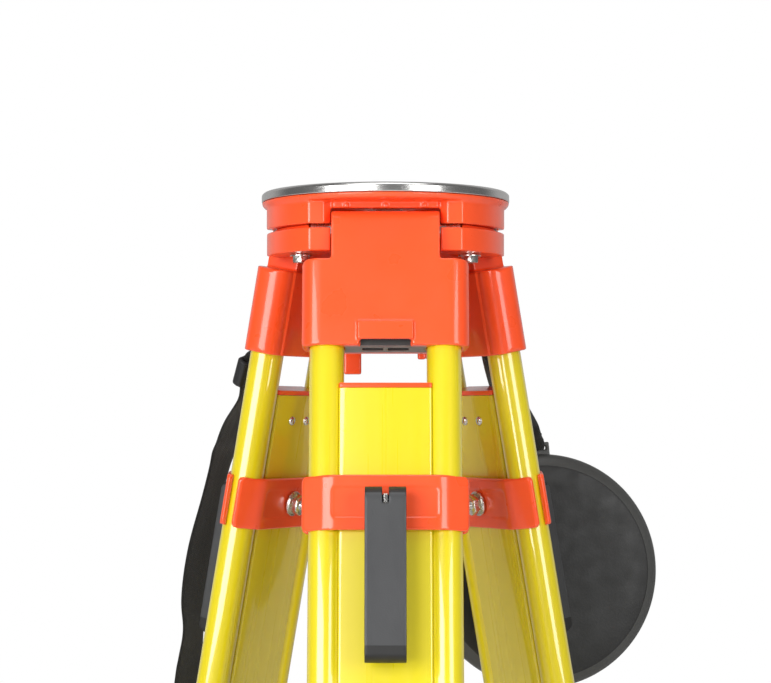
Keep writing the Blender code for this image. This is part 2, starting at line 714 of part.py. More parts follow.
def cover_strap(hinge_frame, cover_matrix):
    """From the slot of the right hinge casting to the cover's lug, turning on its way."""
    start = hinge_frame @ leg_point(0, 11.3 * MM, 66 * MM)
    out = hinge_frame @ leg_point(0, 11.8 * MM, 77 * MM)
    bend = hinge_frame @ leg_point(0, 16 * MM, 86 * MM)
    reach = COVER_R + 10.5 * MM
    lug = cover_matrix @ Vector((-reach * math.sin(LUG_TURN) - 3 * MM, -3 * MM, reach * math.cos(LUG_TURN)))
    above = lug + Vector((-1.5 * MM, -5 * MM, 11 * MM))
    half_way = bend.lerp(above, 0.5) + Vector((2 * MM, 0, 3 * MM))
    centres = smooth_route([start, out, bend, half_way, above, lug], 4)
    top = (hinge_frame.to_3x3() @ Vector((1, 0, 0))).normalized()
    low = (cover_matrix.to_3x3() @ Vector((1, 0, 0))).normalized()
    if top.dot(low) < 0:
        top = -top
    count = len(centres) - 1
    blend = [min(1, max(0, (i / count - 0.35) / 0.45)) for i in range(count + 1)]
    sides = [top.lerp(low, amount) for amount in blend]
    return carve(ribbon(centres, sides, COVER_STRAP_HALF - 1 * MM, STRAP_T))


# ---------------------------------------------------------------- assembly


def build_head(base):
    place("head_casting", head_casting(), ORANGE, base)
    cap, bolt = hinge_cap(), cap_bolt()
    between = {"front_right": 60, "front_left": -60, "back": 180}
    for name, angle in between.items():
        lug = empty(f"lug_{name}", base, rotation=(0, 0, math.radians(angle)))
        place(f"hinge_cap_{name}", cap, ORANGE, lug)
        place(f"cap_bolt_{name}", bolt, STEEL, lug)
    place("screw_arm", screw_arm(), ORANGE, base)
    place("arm_guard_left", arm_guard_left(), ORANGE, base)
    place("arm_guard_right", arm_guard_right(), ORANGE, base)
    place("arm_pivot", arm_pivot(), STEEL, base)
    place("screw_bushing", screw_bushing(), STEEL, base)
    place("fastening_screw", fastening_screw(), BRASS, base)
    place("screw_knob", screw_knob(), BLACK, base)


def build_legs(base):
    shared = (
        ("hinge_casting", hinge_casting(), ORANGE),
        ("hinge_shaft", hinge_shaft(), STEEL),
        ("tube_a", leg_tube(-1), YELLOW),
        ("tube_b", leg_tube(1), YELLOW),
        ("lower_collar", lower_collar(), ORANGE),
        ("extension_bar", extension_bar(), YELLOW),
        ("bar_cap", bar_cap(), ORANGE),
        ("clamp_outer_plate", clamp_plate(CLAMP_FACE, 14.7 * MM, 1), ORANGE),
        ("clamp_inner_plate", clamp_plate(15.5 * MM, 15.0 * MM, -1), ORANGE),
        ("clamp_bolt", clamp_bolt(), STEEL),
        ("clamp_nut", clamp_nut(), STEEL),
        ("clamp_lever", clamp_lever(), BLACK),
        ("foot", foot(), ORANGE),
        ("foot_point", foot_point(), STEEL),
    )
    hinges = {}
    for name, angle in LEG_ANGLES.items():
        turn = empty(f"{name}_side", base, rotation=(0, 0, math.radians(angle)))
        hinge = empty(f"{name}_hinge", turn, (0, -HINGE_R, -HINGE_DROP), (-REST_TILT, 0, 0))
        for piece, mesh, material in shared:
            place(f"{name}_{piece}", mesh, material, hinge)
        hinges[name] = hinge
    bpy.context.view_layer.update()
    return hinges


def build_soft(hinges):
    place("shoulder_strap", shoulder_strap(), WEBBING, hinges["left"])
    place("strap_buckle", strap_buckle(), BLACK, hinges["left"])
    frame = cover_frame()
    cover = place("head_cover", head_cover(), RUBBER, None)
    cover.matrix_world = frame
    place("cover_strap", cover_strap(hinges["right"].matrix_world, frame), WEBBING, None)


BASE = empty("head_top_centre", location=(0, AXIS_Y, HEAD_TOP))
build_head(BASE)
build_soft(build_legs(BASE))
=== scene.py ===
"""Surveyor tripod: looks, light and camera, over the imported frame. Metres, +Z up, front leg along -Y."""

import math

import bmesh
import bpy
from mathutils import Matrix, Vector


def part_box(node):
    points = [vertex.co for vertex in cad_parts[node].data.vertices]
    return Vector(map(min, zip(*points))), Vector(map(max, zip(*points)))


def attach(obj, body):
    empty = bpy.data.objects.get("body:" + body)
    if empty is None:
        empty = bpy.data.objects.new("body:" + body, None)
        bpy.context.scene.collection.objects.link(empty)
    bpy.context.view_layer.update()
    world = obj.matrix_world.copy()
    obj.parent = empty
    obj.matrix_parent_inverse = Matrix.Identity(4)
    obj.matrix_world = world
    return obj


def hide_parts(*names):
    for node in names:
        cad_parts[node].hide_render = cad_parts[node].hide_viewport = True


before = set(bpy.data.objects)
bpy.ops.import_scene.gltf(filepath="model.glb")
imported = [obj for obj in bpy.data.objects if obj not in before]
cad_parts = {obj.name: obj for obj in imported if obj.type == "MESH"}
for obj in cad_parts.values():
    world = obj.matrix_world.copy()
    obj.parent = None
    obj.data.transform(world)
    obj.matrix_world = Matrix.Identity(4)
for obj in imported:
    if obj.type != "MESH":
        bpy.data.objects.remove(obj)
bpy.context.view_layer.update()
MM = 0.001

# ---------------------------------------------------------------- dimensions, as in the CAD
low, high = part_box("head_casting")
AXIS_Y = (low[1] + high[1]) / 2
HEAD_TOP = high[2]
TILT = math.radians(11)
SIDES = {"front": 0, "right": 120, "left": -120}
LUGS = {"front_right": 60, "front_left": -60, "back": 180}
HINGE_R, HINGE_DROP = 54.5 * MM, 28.5 * MM
TUBE_R, TUBE_X = 11.1 * MM, 37.2 * MM
GROOVE_R, BAR_HALF, BAR_THICK = 11.4 * MM, 29.25 * MM, 10 * MM
BODY_HALF, BODY_DEPTH, CORNER = 53.3 * MM, 14.5 * MM, 12 * MM
PIN_DOWN, PIN_OUT = 179 * MM, 25.5 * MM
SHAFT_BORE, SOCKET_R = 4.8 * MM, TUBE_R + 0.25 * MM
# Where pieces begin and end down the leg, from the hinge axis.
TUBE_TOP, TUBE_END = 66.5 * MM, 914.5 * MM
CAP_TOP, CAP_END, BAR_TOP, BAR_END = 102.4 * MM, 105.4 * MM, 105.6 * MM, 960 * MM
CLAMP_TOP, CLAMP_END = 161.7 * MM, 196.2 * MM
COLLAR_TOP, COLLAR_END = 880 * MM, 925 * MM
COVER_R = 84 * MM
LUG_TURN, LUG_HALF = math.radians(5.5), 14 * MM
HEAD = Matrix.Translation((0, AXIS_Y, HEAD_TOP))


def around(angle):
    return HEAD @ Matrix.Rotation(math.radians(angle), 4, "Z")


def hinge(side):
    """A leg's own frame: across = +X, outward = -Y, down the leg = -Z, origin on the hinge axis."""
    lean = Matrix.Translation((0, -HINGE_R, -HINGE_DROP)) @ Matrix.Rotation(-TILT, 4, "X")
    return around(SIDES[side]) @ lean


# ---------------------------------------------------------------- materials


class Paint:
    """A Principled material with object coordinates at hand."""

    def __init__(self, name, colour, roughness, metallic=0.0, **sockets):
        self.material = bpy.data.materials.new(name)
        self.material.use_nodes = True
        self.tree = self.material.node_tree
        self.shader = self.tree.nodes["Principled BSDF"]
        self.colour = colour
        self.set("Base Color", (*colour, 1))
        self.set("Roughness", roughness)
        self.set("Metallic", metallic)
        for socket, value in sockets.items():
            self.set(socket.replace("_", " "), value)
        self.where = self.node("ShaderNodeTexCoord").outputs["Object"]

    def set(self, socket, value):
        self.shader.inputs[socket].default_value = value

    def node(self, kind, **settings):
        made = self.tree.nodes.new(kind)
        for key, value in settings.items():
            setattr(made, key, value)
        return made

    def link(self, one, other):
        self.tree.links.new(one, other)

    def noise(self, scale, detail, stretch=(1, 1, 1)):
        mapping = self.node("ShaderNodeMapping")
        mapping.inputs["Scale"].default_value = stretch
        self.link(self.where, mapping.inputs["Vector"])
        made = self.node("ShaderNodeTexNoise")
        made.inputs["Scale"].default_value = scale
        made.inputs["Detail"].default_value = detail
        self.link(mapping.outputs["Vector"], made.inputs["Vector"])
        return made.outputs["Fac"]

    def remap(self, source, from_min, from_max, to_min, to_max):
        made = self.node("ShaderNodeMapRange")
        for key, value in (
            ("From Min", from_min), ("From Max", from_max), ("To Min", to_min), ("To Max", to_max)
        ):
            made.inputs[key].default_value = value
        self.link(source, made.inputs["Value"])
        return made.outputs["Result"]

    def math(self, operation, one, other=None):
        made = self.node("ShaderNodeMath", operation=operation)
        self.link(one, made.inputs[0])
        if isinstance(other, (int, float)):
            made.inputs[1].default_value = other
        elif other is not None:
            self.link(other, made.inputs[1])
        return made.outputs["Value"]

    def bump(self, height, strength, distance):
        made = self.node("ShaderNodeBump")
        made.inputs["Strength"].default_value = strength
        made.inputs["Distance"].default_value = distance
        self.link(height, made.inputs["Height"])
        self.link(made.outputs["Normal"], self.shader.inputs["Normal"])

    def tint(self, factor, other):
        """Colour runs from the material's own to other as factor goes from 0 to 1."""
        made = self.node("ShaderNodeMix", data_type="RGBA")
        made.inputs["A"].default_value = (*self.colour, 1)
        made.inputs["B"].default_value = (*other, 1)
        self.link(factor, made.inputs["Factor"])
        self.link(made.outputs["Result"], self.shader.inputs["Base Color"])

    def rough(self, source, low, high):
        self.link(self.remap(source, 0.3, 0.7, low, high), self.shader.inputs["Roughness"])


def enamel(name, colour, other, roughness):
    """Glossy paint with a faint orange-peel surface and a little unevenness in tone."""
    gloss = {"Coat_Weight": 0.6, "Coat_Roughness": 0.04, "Specular_IOR_Level": 0.4}
    made = Paint(name, colour, roughness, **gloss)
    made.tint(made.remap(made.noise(14, 3), 0.2, 0.85, 0, 1), other)
    made.rough(made.noise(40, 3), roughness - 0.04, roughness + 0.06)
    made.bump(made.noise(420, 2), 0.06, 0.0004)
    return made.material


def drawn_yellow():
    """Gloss yellow over drawn tube: fine streaks along the leg."""
    gloss = {"Coat_Weight": 1.0, "Coat_Roughness": 0.03, "Coat_IOR": 1.65}
    made = Paint("yellow_gloss", (0.755, 0.635, 0.008), 0.3, **gloss)
    streaks = made.noise(160, 2, (1, 1, 0.02))
    made.tint(made.remap(made.noise(9, 3, (1, 1, 0.3)), 0.35, 0.75, 0, 1), (0.73, 0.59, 0.006))
    made.rough(streaks, 0.26, 0.36)
    made.bump(streaks, 0.05, 0.0003)
    return made.material


def turned_aluminium():
    """Machined ring: fine concentric tool marks round the object's own Z axis."""
    made = Paint("turned_aluminium", (0.68, 0.67, 0.655), 0.2, 1.0)
    apart = made.node("ShaderNodeSeparateXYZ")
    made.link(made.where, apart.inputs["Vector"])
    across, along = apart.outputs["X"], apart.outputs["Y"]
    squares = made.math("ADD", made.math("POWER", across, 2.0), made.math("POWER", along, 2.0))
    radius = made.math("SQRT", squares)
    both = made.node("ShaderNodeCombineXYZ")
    made.link(radius, both.inputs["X"])
    made.link(apart.outputs["Z"], both.inputs["Y"])
    grooves = made.node("ShaderNodeTexNoise")
    grooves.inputs["Scale"].default_value = 2600
    grooves.inputs["Detail"].default_value = 2
    made.link(both.outputs["Vector"], grooves.inputs["Vector"])
    made.bump(grooves.outputs["Fac"], 0.12, 0.0002)
    made.rough(grooves.outputs["Fac"], 0.14, 0.26)
    made.tint(made.remap(made.noise(30, 3), 0.4, 0.8, 0, 1), (0.62, 0.61, 0.60))
    return made.material


def ground_metal():
    made = Paint("ground_metal", (0.38, 0.36, 0.34), 0.45, 0.8)
    scratches = made.noise(700, 2, (0.15, 1, 1))
    made.tint(made.remap(scratches, 0.3, 0.7, 0, 1), (0.24, 0.22, 0.21))
    made.bump(scratches, 0.2, 0.0002)
    return made.material


def plated(name, colour, other, roughness):
    made = Paint(name, colour, roughness, 1.0)
    made.tint(made.remap(made.noise(120, 3), 0.35, 0.75, 0, 1), other)
    made.rough(made.noise(260, 2), roughness - 0.08, roughness + 0.12)
    made.bump(made.noise(900, 2), 0.05, 0.0002)
    return made.material


def moulded(name, colour, other, roughness, grain, depth):
    """Moulded plastic: a fine spark-eroded grain with faint flow marks."""
    made = Paint(name, colour, roughness, Specular_IOR_Level=0.45)
    made.tint(made.remap(made.noise(22, 4, (1, 1, 0.4)), 0.3, 0.75, 0, 1), other)
    made.rough(made.noise(90, 3), roughness - 0.06, roughness + 0.08)
    made.bump(made.noise(grain, 3), depth, 0.0004)
    return made.material


def woven(name, colour, other):
    """Webbing: a herringbone of raised yarns that follows the strap, from its UV map in metres."""
    made = Paint(name, colour, 0.82, Sheen_Weight=0.25, Sheen_Roughness=0.5)
    made.where = made.node("ShaderNodeUVMap", uv_map="webbing").outputs["UV"]
    apart = made.node("ShaderNodeSeparateXYZ")
    made.link(made.where, apart.inputs["Vector"])
    along, across = apart.outputs["X"], apart.outputs["Y"]
    zigzag = made.math("PINGPONG", across, 0.003)
    ribs = made.math("SINE", made.math("MULTIPLY", made.math("ADD", along, zigzag), 3800.0))
    yarns = made.math("SINE", made.math("MULTIPLY", across, 4200.0))
    height = made.math("ADD", ribs, made.math("MULTIPLY", yarns, 0.6))
    # Colour follows the yarn height, lighter on the tops and darker between the yarns: painted shade in the
    # grooves.
    made.tint(made.remap(height, -1.2, 1.4, 0, 1), other)
    made.bump(height, 0.35, 0.0003)
    return made.material


ORANGE = enamel("orange_enamel", (0.95, 0.092, 0.019), (0.92, 0.082, 0.016), 0.3)
YELLOW = drawn_yellow()
ALUMINIUM = turned_aluminium()
GROUND = ground_metal()
STEEL = plated("plated_steel", (0.74, 0.73, 0.70), (0.55, 0.54, 0.50), 0.22)
BRASS = plated("machined_brass", (0.72, 0.50, 0.20), (0.56, 0.38, 0.14), 0.24)
LEVER = moulded("lever_plastic", (0.035, 0.036, 0.038), (0.055, 0.056, 0.058), 0.42, 900, 0.18)
LEVER_END = moulded("lever_end_plastic", (0.008, 0.0075, 0.007), (0.013, 0.0125, 0.012), 0.5, 900, 0.18)
DARK = moulded("black_plastic", (0.014, 0.014, 0.015), (0.022, 0.022, 0.022), 0.4, 800, 0.15)
COVER = moulded("cover_plastic", (0.009, 0.009, 0.0086), (0.014, 0.014, 0.0134), 0.5, 600, 0.22)
# Lighter grey for the cover's outer band: painted highlight where the band catches the light; the moulding is
# one colour.
COVER_RIM_PAINTED_HIGHLIGHT = moulded("cover_rim_painted_highlight", (0.050, 0.050, 0.048), (0.064, 0.064, 0.061), 0.42, 600, 0.18)
# Near-black for the slots and pockets under each hinge casting: painted shade where the hollows lie in
# shadow, not the metal's own colour.
PAINTED_HOLLOW_SHADE = moulded("painted_hollow_shade", (0.030, 0.028, 0.027), (0.045, 0.042, 0.040), 0.8, 500, 0.3)
WEBBING = woven("black_webbing", (0.0035, 0.0035, 0.0032), (0.009, 0.0087, 0.008))
THREAD = moulded("sewing_thread", (0.05, 0.05, 0.048), (0.07, 0.07, 0.066), 0.7, 1500, 0.3)

# ---------------------------------------------------------------- shape helpers
SHARP = 35  # degrees: a bend above this is an edge, one below it is shaded smooth


def leg_point(across, out, down):
    return Vector((across, -out, -down))


def spot(across, out, down):
    """A leg point given in millimetres."""
    return leg_point(across * MM, out * MM, down * MM)


def metres(points):
    return [tuple(value * MM for value in point) for point in points]


def shape(bm):
    bmesh.ops.recalc_face_normals(bm, faces=bm.faces)
    mesh = bpy.data.meshes.new("shape")
    bm.to_mesh(mesh)
    bm.free()
    made = bpy.data.objects.new("shape", mesh)
    bpy.context.scene.collection.objects.link(made)
    return made


def block(one, two):
    """A box between two opposite corners, in any order."""
    one, two = Vector(one), Vector(two)
    size = Vector([abs(value) for value in two - one])
    place = Matrix.Translation((one + two) / 2) @ Matrix.Diagonal((*size, 1))
    bm = bmesh.new()
    bmesh.ops.create_cube(bm, size=1, matrix=place)
    return shape(bm)


def rod(start, end, radius, segments=32):
    start, end = Vector(start), Vector(end)
    along = end - start
    turn = along.to_track_quat("Z", "Y").to_matrix().to_4x4()
    bm = bmesh.new()
    bmesh.ops.create_cone(
        bm,
        cap_ends=True,
        segments=segments,
        radius1=radius,
        radius2=radius,
        depth=along.length,
        matrix=Matrix.Translation((start + end) / 2) @ turn,
    )
    return shape(bm)


def prism(outline, offset):
    bm = bmesh.new()
    face = bm.faces.new([bm.verts.new(point) for point in outline])
    pushed = bmesh.ops.extrude_face_region(bm, geom=[face])["geom"]
    bmesh.ops.translate(bm, verts=[v for v in pushed if isinstance(v, bmesh.types.BMVert)], vec=offset)
    return shape(bm)


def column(outline, top, bottom):
    return prism([leg_point(across, out, top) for across, out in outline], (0, 0, top - bottom))


def loft(outlines):
    bm = bmesh.new()
    rings = [[bm.verts.new(point) for point in outline] for outline in outlines]
    count = len(rings[0])
    for upper, lower in zip(rings, rings[1:]):
        for i in range(count):
            j = (i + 1) % count
            bm.faces.new((upper[i], upper[j], lower[j], lower[i]))
    bm.faces.new(rings[0])
    bm.faces.new(rings[-1])
    return shape(bm)


def revolve(profile, segments=96, wave=None):
    """A closed profile of (radius, height) about Z; radius 0 makes a pole. wave scales the radii."""
    bm = bmesh.new()
    rings = []
    for radius, height in profile:
        if radius == 0:
            rings.append([bm.verts.new((0, 0, height))])
            continue
        ring = []
        for i in range(segments):
            angle = math.tau * i / segments
            reach = radius * (wave(angle, radius) if wave else 1)
            ring.append(bm.verts.new((reach * math.cos(angle), reach * math.sin(angle), height)))
        rings.append(ring)
    for one, two in zip(rings, rings[1:] + rings[:1]):
        for i in range(segments):
            j = (i + 1) % segments
            corners = [one[i % len(one)], one[j % len(one)], two[j % len(two)], two[i % len(two)]]
            corners = list(dict.fromkeys(corners))
            if len(corners) > 2:
                bm.faces.new(corners)
    return shape(bm)


def arc(centre_x, centre_y, radius, start, end, steps):
    angles = (math.radians(start + (end - start) * i / steps) for i in range(steps + 1))
    return [(centre_x + radius * math.cos(a), centre_y + radius * math.sin(a)) for a in angles]


def rounded(half_x, half_y, radius, steps=8):
    outline = []
    for sign_x, sign_y, start in ((1, 1, 0), (-1, 1, 90), (-1, -1, 180), (1, -1, 270)):
        centre = (sign_x * (half_x - radius), sign_y * (half_y - radius))
        outline += arc(*centre, radius, start, start + 90, steps)
    return outline


def eased(points, size, steps=4, closed=True):
    """Rounds each corner of a 2D outline by up to size."""
    made = []
    count = len(points)
    for i, point in enumerate(points):
        here = Vector(point)
        if not closed and i in (0, count - 1):
            made.append(tuple(here))
            continue
        before, after = Vector(points[i - 1]) - here, Vector(points[(i + 1) % count]) - here
        cut = min(size, before.length / 2.02, after.length / 2.02)
        one, two = here + before.normalized() * cut, here + after.normalized() * cut
        for k in range(steps + 1):
            t = k / steps
            made.append(tuple((1 - t) ** 2 * one + 2 * t * (1 - t) * here + t**2 * two))
    return made


def evaluated(made):
    bpy.context.view_layer.update()
    graph = bpy.context.evaluated_depsgraph_get()
    mesh = bpy.data.meshes.new_from_object(made.evaluated_get(graph))
    bpy.data.objects.remove(made, do_unlink=True)
    return mesh


def combine(base, joined=(), cut=(), kept=()):
    for operation, others in (("UNION", joined), ("INTERSECT", kept), ("DIFFERENCE", cut)):
        for other in others:
            boolean = base.modifiers.new("boolean", "BOOLEAN")
            boolean.operation = operation
            boolean.object = other
    mesh = evaluated(base)
    for other in (*joined, *kept, *cut):
        bpy.data.objects.remove(other, do_unlink=True)
    made = bpy.data.objects.new("shape", mesh)
    bpy.context.scene.collection.objects.link(made)
    return made


def cast(made, grain=0.9 * MM, rounds=4):
    """A casting: every edge and inside corner softened, by a voxel remesh and a light smoothing."""
    remesh = made.modifiers.new("remesh", "REMESH")
    remesh.mode = "VOXEL"
    remesh.voxel_size = grain
    smooth = made.modifiers.new("smooth", "SMOOTH")
    smooth.factor = 0.5
    smooth.iterations = rounds
    mesh = evaluated(made)
    mesh.shade_smooth()
    return mesh


def crisp(made, width=0.0, steps=2, angle=SHARP):
    """A machined or drawn piece: edges bevelled by width, round walls smooth."""
    if width:
        bevel = made.modifiers.new("bevel", "BEVEL")
        bevel.width = width
        bevel.segments = steps
        bevel.limit_method = "ANGLE"
        bevel.angle_limit = math.radians(angle)
    mesh = evaluated(made)
    mesh.shade_smooth()
    mesh.set_sharp_from_angle(angle=math.radians(angle))
    return mesh


def joined_meshes(meshes):
    bm = bmesh.new()
    for mesh in meshes:
        bm.from_mesh(mesh)
    made = bpy.data.meshes.new("joined")
    bm.to_mesh(made)
    bm.free()
    made.shade_smooth()
    made.set_sharp_from_angle(angle=math.radians(SHARP))
    return made


def add(name, mesh, material, body, at=None, nodes=()):
    """Puts a piece in place, in the frame at, riding on a body."""
    if not mesh.materials:
        mesh.materials.append(material)
    made = bpy.data.objects.new(name, mesh)
    bpy.context.scene.collection.objects.link(made)
    made.matrix_world = at or Matrix.Identity(4)
    bpy.context.view_layer.update()
    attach(made, body)
    if nodes:
        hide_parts(*nodes)
    return made


# ---------------------------------------------------------------- head


def head_rim():
    profile = [(32, -8), (32, 0), (80.9, 0), (82.5, -1.5), (82.5, -6.2), (38, -6.2), (38, -8)]
    profile = eased(metres(profile), 0.7 * MM, 3)
    return crisp(revolve(profile, 160))


def turned_by(made, angle):
    made.data.transform(Matrix.Rotation(math.radians(angle), 4, "Z"))
    return made


def head_body():
    profile = [(38.2, -6.4), (82.3, -6.4), (82.3, -7.6), (79.6, -11.2)]
    profile += [(79.6, -24.8), (50, -24.8), (50, -10), (38.2, -10)]
    base = revolve(metres(profile), 144)
    cuts, ribs = [], []
    for angle in SIDES.values():
        side = [(30, -40), (30, -14.8), (60.5, -14.8), (60.5, -10.3), (95, -10.3), (95, -40)]
        outline = [Vector((-35.3 * MM, -y * MM, z * MM)) for y, z in side]
        cuts.append(turned_by(prism(outline, (70.6 * MM, 0, 0)), angle))
        cuts.append(turned_by(block((-60 * MM, -62.5 * MM, -9.9 * MM), (60 * MM, -95 * MM, -40 * MM)), angle))
        for s in (-1, 1):
            corner = [(34 * s, -64), (39.4 * s, -64), (39.4 * s, -62.3), (34 * s, -57)]
            lines = [Vector((x * MM, y * MM, -9.9 * MM)) for x, y in corner]
            cuts.append(turned_by(prism(lines, (0, 0, -30 * MM)), angle))
            bore = rod((s * 34 * MM, -HINGE_R, -HINGE_DROP), (s * 49 * MM, -HINGE_R, -HINGE_DROP), SHAFT_BORE)
            cuts.append(turned_by(bore, angle))
        for x in (-25, 0, 25):
            rib = block(((x - 1.2) * MM, -59 * MM, -11.8 * MM), ((x + 1.2) * MM, -61.6 * MM, -14.6 * MM))
            ribs.append(turned_by(rib, angle))
    boss = rod((0, 40 * MM, -8 * MM), (0, 40 * MM, -12.5 * MM), 7.5 * MM)
    base = combine(base, cut=cuts)
    return cast(combine(base, joined=[boss, *ribs]), 0.75 * MM, 3)


def hinge_cap():
    turn = Matrix.Rotation(math.radians(-60), 2)
    facet_end = math.sqrt(79.4**2 - 62.5**2)
    side = [turn @ Vector(p) for p in ((35.3, -47), (35.3, -62.5), (facet_end, -62.5))]
    start = math.degrees(math.atan2(side[2].y, side[2].x))
    outer = arc(0, 0, 79.4, start, -180 - start, 24)
    outline = [(p.x, p.y) for p in side[:2]] + outer + [(-p.x, p.y) for p in reversed(side[:2])]
    base = prism([Vector((x * MM, y * MM, -27.3 * MM)) for x, y in outline], (0, 0, -15.1 * MM))
    side = [turn @ Vector(p) for p in ((36.2, -48.5), (36.2, -56), (facet_end, -56))]
    start = math.degrees(math.atan2(side[2].y, side[2].x))
    inner = [(p.x, p.y) for p in side[:2]] + arc(0, 0, side[2].length, start, -180 - start, 16)
    inner += [(-p.x, p.y) for p in reversed(side[:2])]
    pad = prism([Vector((x * MM, y * MM, -24.9 * MM)) for x, y in inner], (0, 0, -3 * MM))
    bores = []
    for angle in (60, -60):
        bore = rod((-49 * MM, -HINGE_R, -HINGE_DROP), (49 * MM, -HINGE_R, -HINGE_DROP), SHAFT_BORE)
        bores.append(turned_by(bore, angle))
    return cast(combine(base, joined=[pad], cut=bores), 0.75 * MM, 3)


def hexagon(radius, top, bottom, dome=0.8 * MM):
    """A hex head or nut about Z with its corners turned off."""
    base = rod((0, 0, bottom), (0, 0, top), radius, segments=6)
    flat, corner = radius * 0.93, radius * 1.02
    turned = revolve([(0, bottom), (flat, bottom), (corner, bottom + dome), (corner, top), (0, top)], 48)
    return crisp(combine(base, kept=[turned]), 0.15 * MM, 1, 20)


def cap_bolt():
    under = -42.7 * MM
    at = Matrix.Translation((0, -63.5 * MM, 0))
    washer = [(3.3, 0), (7.4, 0), (7.4, -1.4), (3.3, -1.4)]
    washer = crisp(revolve(eased([(r * MM, under + z * MM) for r, z in washer], 0.3 * MM, 2), 48))
    head = hexagon(6.1 * MM, under - 1.4 * MM, under - 5.4 * MM)
    shank = crisp(rod((0, 0, under), (0, 0, -15 * MM), 3 * MM))
    mesh = joined_meshes([washer, head, shank])
    mesh.transform(at)
    return mesh


def threaded(radius, pitch, depth, top, bottom, segments=40):
    """A screw thread about Z: the wall's radius follows a helix; both ends run out smoothly."""
    bm = bmesh.new()
    rows = int((top - bottom) / (pitch / 8))
    rings = []
    for row in range(rows + 1):
        z = top + (bottom - top) * row / rows
        fade = min(1.0, (top - z) / pitch, (z - bottom) / pitch)
        ring = []
        for i in range(segments):
            turn = i / segments
            angle = math.tau * turn
            phase = (z / pitch - turn) % 1
            cut = depth * (1 - abs(2 * phase - 1)) * fade
            reach = radius - cut - (1.4 * MM * max(0.0, 1 - (top - z) / (1.5 * MM)))
            ring.append(bm.verts.new((reach * math.cos(angle), reach * math.sin(angle), z)))
        rings.append(ring)
    for one, two in zip(rings, rings[1:]):
        for i in range(segments):
            j = (i + 1) % segments
            bm.faces.new((one[i], one[j], two[j], two[i]))
    bm.faces.new(rings[0])
    bm.faces.new(rings[-1])
    return shape(bm)


def fastening_screw():
    thread = crisp(threaded(7.9 * MM, 2.309 * MM, 1.1 * MM, -1.5 * MM, -42 * MM), angle=50)
    lip = [(6.6, -6.6), (9.2, -6.6), (9.2, -8), (6.6, -8)]
    lip = crisp(revolve(eased(metres(lip), 0.4 * MM, 2), 48))
    shank = [(0, -41.5), (7.6, -41.5), (7.6, -69), (0, -69)]
    shank = crisp(revolve(eased(metres(shank), 0.6 * MM, 2), 48))
    return joined_meshes([thread, lip, shank])


def screw_knob():
    def lobes(angle, radius):
        return 1 - (0.05 * (0.5 + 0.5 * math.cos(12 * angle)) ** 3 if radius > 12 * MM else 0)

    profile = [(7.95, -44), (11, -43.9), (13.6, -44.6), (15.4, -46.6), (15.5, -56), (15.5, -65), (14, -67.6)]
    profile += [(10.8, -68), (10, -66.5), (7.95, -66.5)]
    return crisp(revolve(metres(profile), 144, lobes), angle=45)


def screw_arm():
    left = [(-17, 18), (-17, 15), (-27.6, 15), (-27.6, 3), (-17, 3), (-17, -19), (-13, -23)]
    right = [(13, -23), (17, -19), (17, 3), (26.5, 3), (26.5, 15), (17, 15), (17, 18)]
    outline = arc(0, 40, 9, 0, 180, 24) + left + right
    base = prism([Vector((x * MM, y * MM, -13 * MM)) for x, y in outline], (0, 0, -6 * MM))
    slot = block((-10.4 * MM, -18.3 * MM, -40 * MM), (10.4 * MM, 18.3 * MM, 0))
    hole = rod((0, 40 * MM, -40 * MM), (0, 40 * MM, 0), 3.4 * MM)
    return cast(combine(base, cut=[slot, hole]), 0.85 * MM, 3)


def arm_guard_left():
    return cast(block((-27.6 * MM, 3 * MM, -120 * MM), (-16.2 * MM, 15 * MM, -18.8 * MM)), 0.85 * MM, 4)


def arm_guard_right():
    step = block((16.2 * MM, 3 * MM, -24 * MM), (26.5 * MM, 15 * MM, -18.8 * MM))
    tail = block((21.5 * MM, 3 * MM, -110 * MM), (26.5 * MM, 15 * MM, -19 * MM))
    return cast(combine(step, joined=[tail]), 0.85 * MM, 4)


# ---------------------------------------------------------------- leg pieces, in the leg's frame


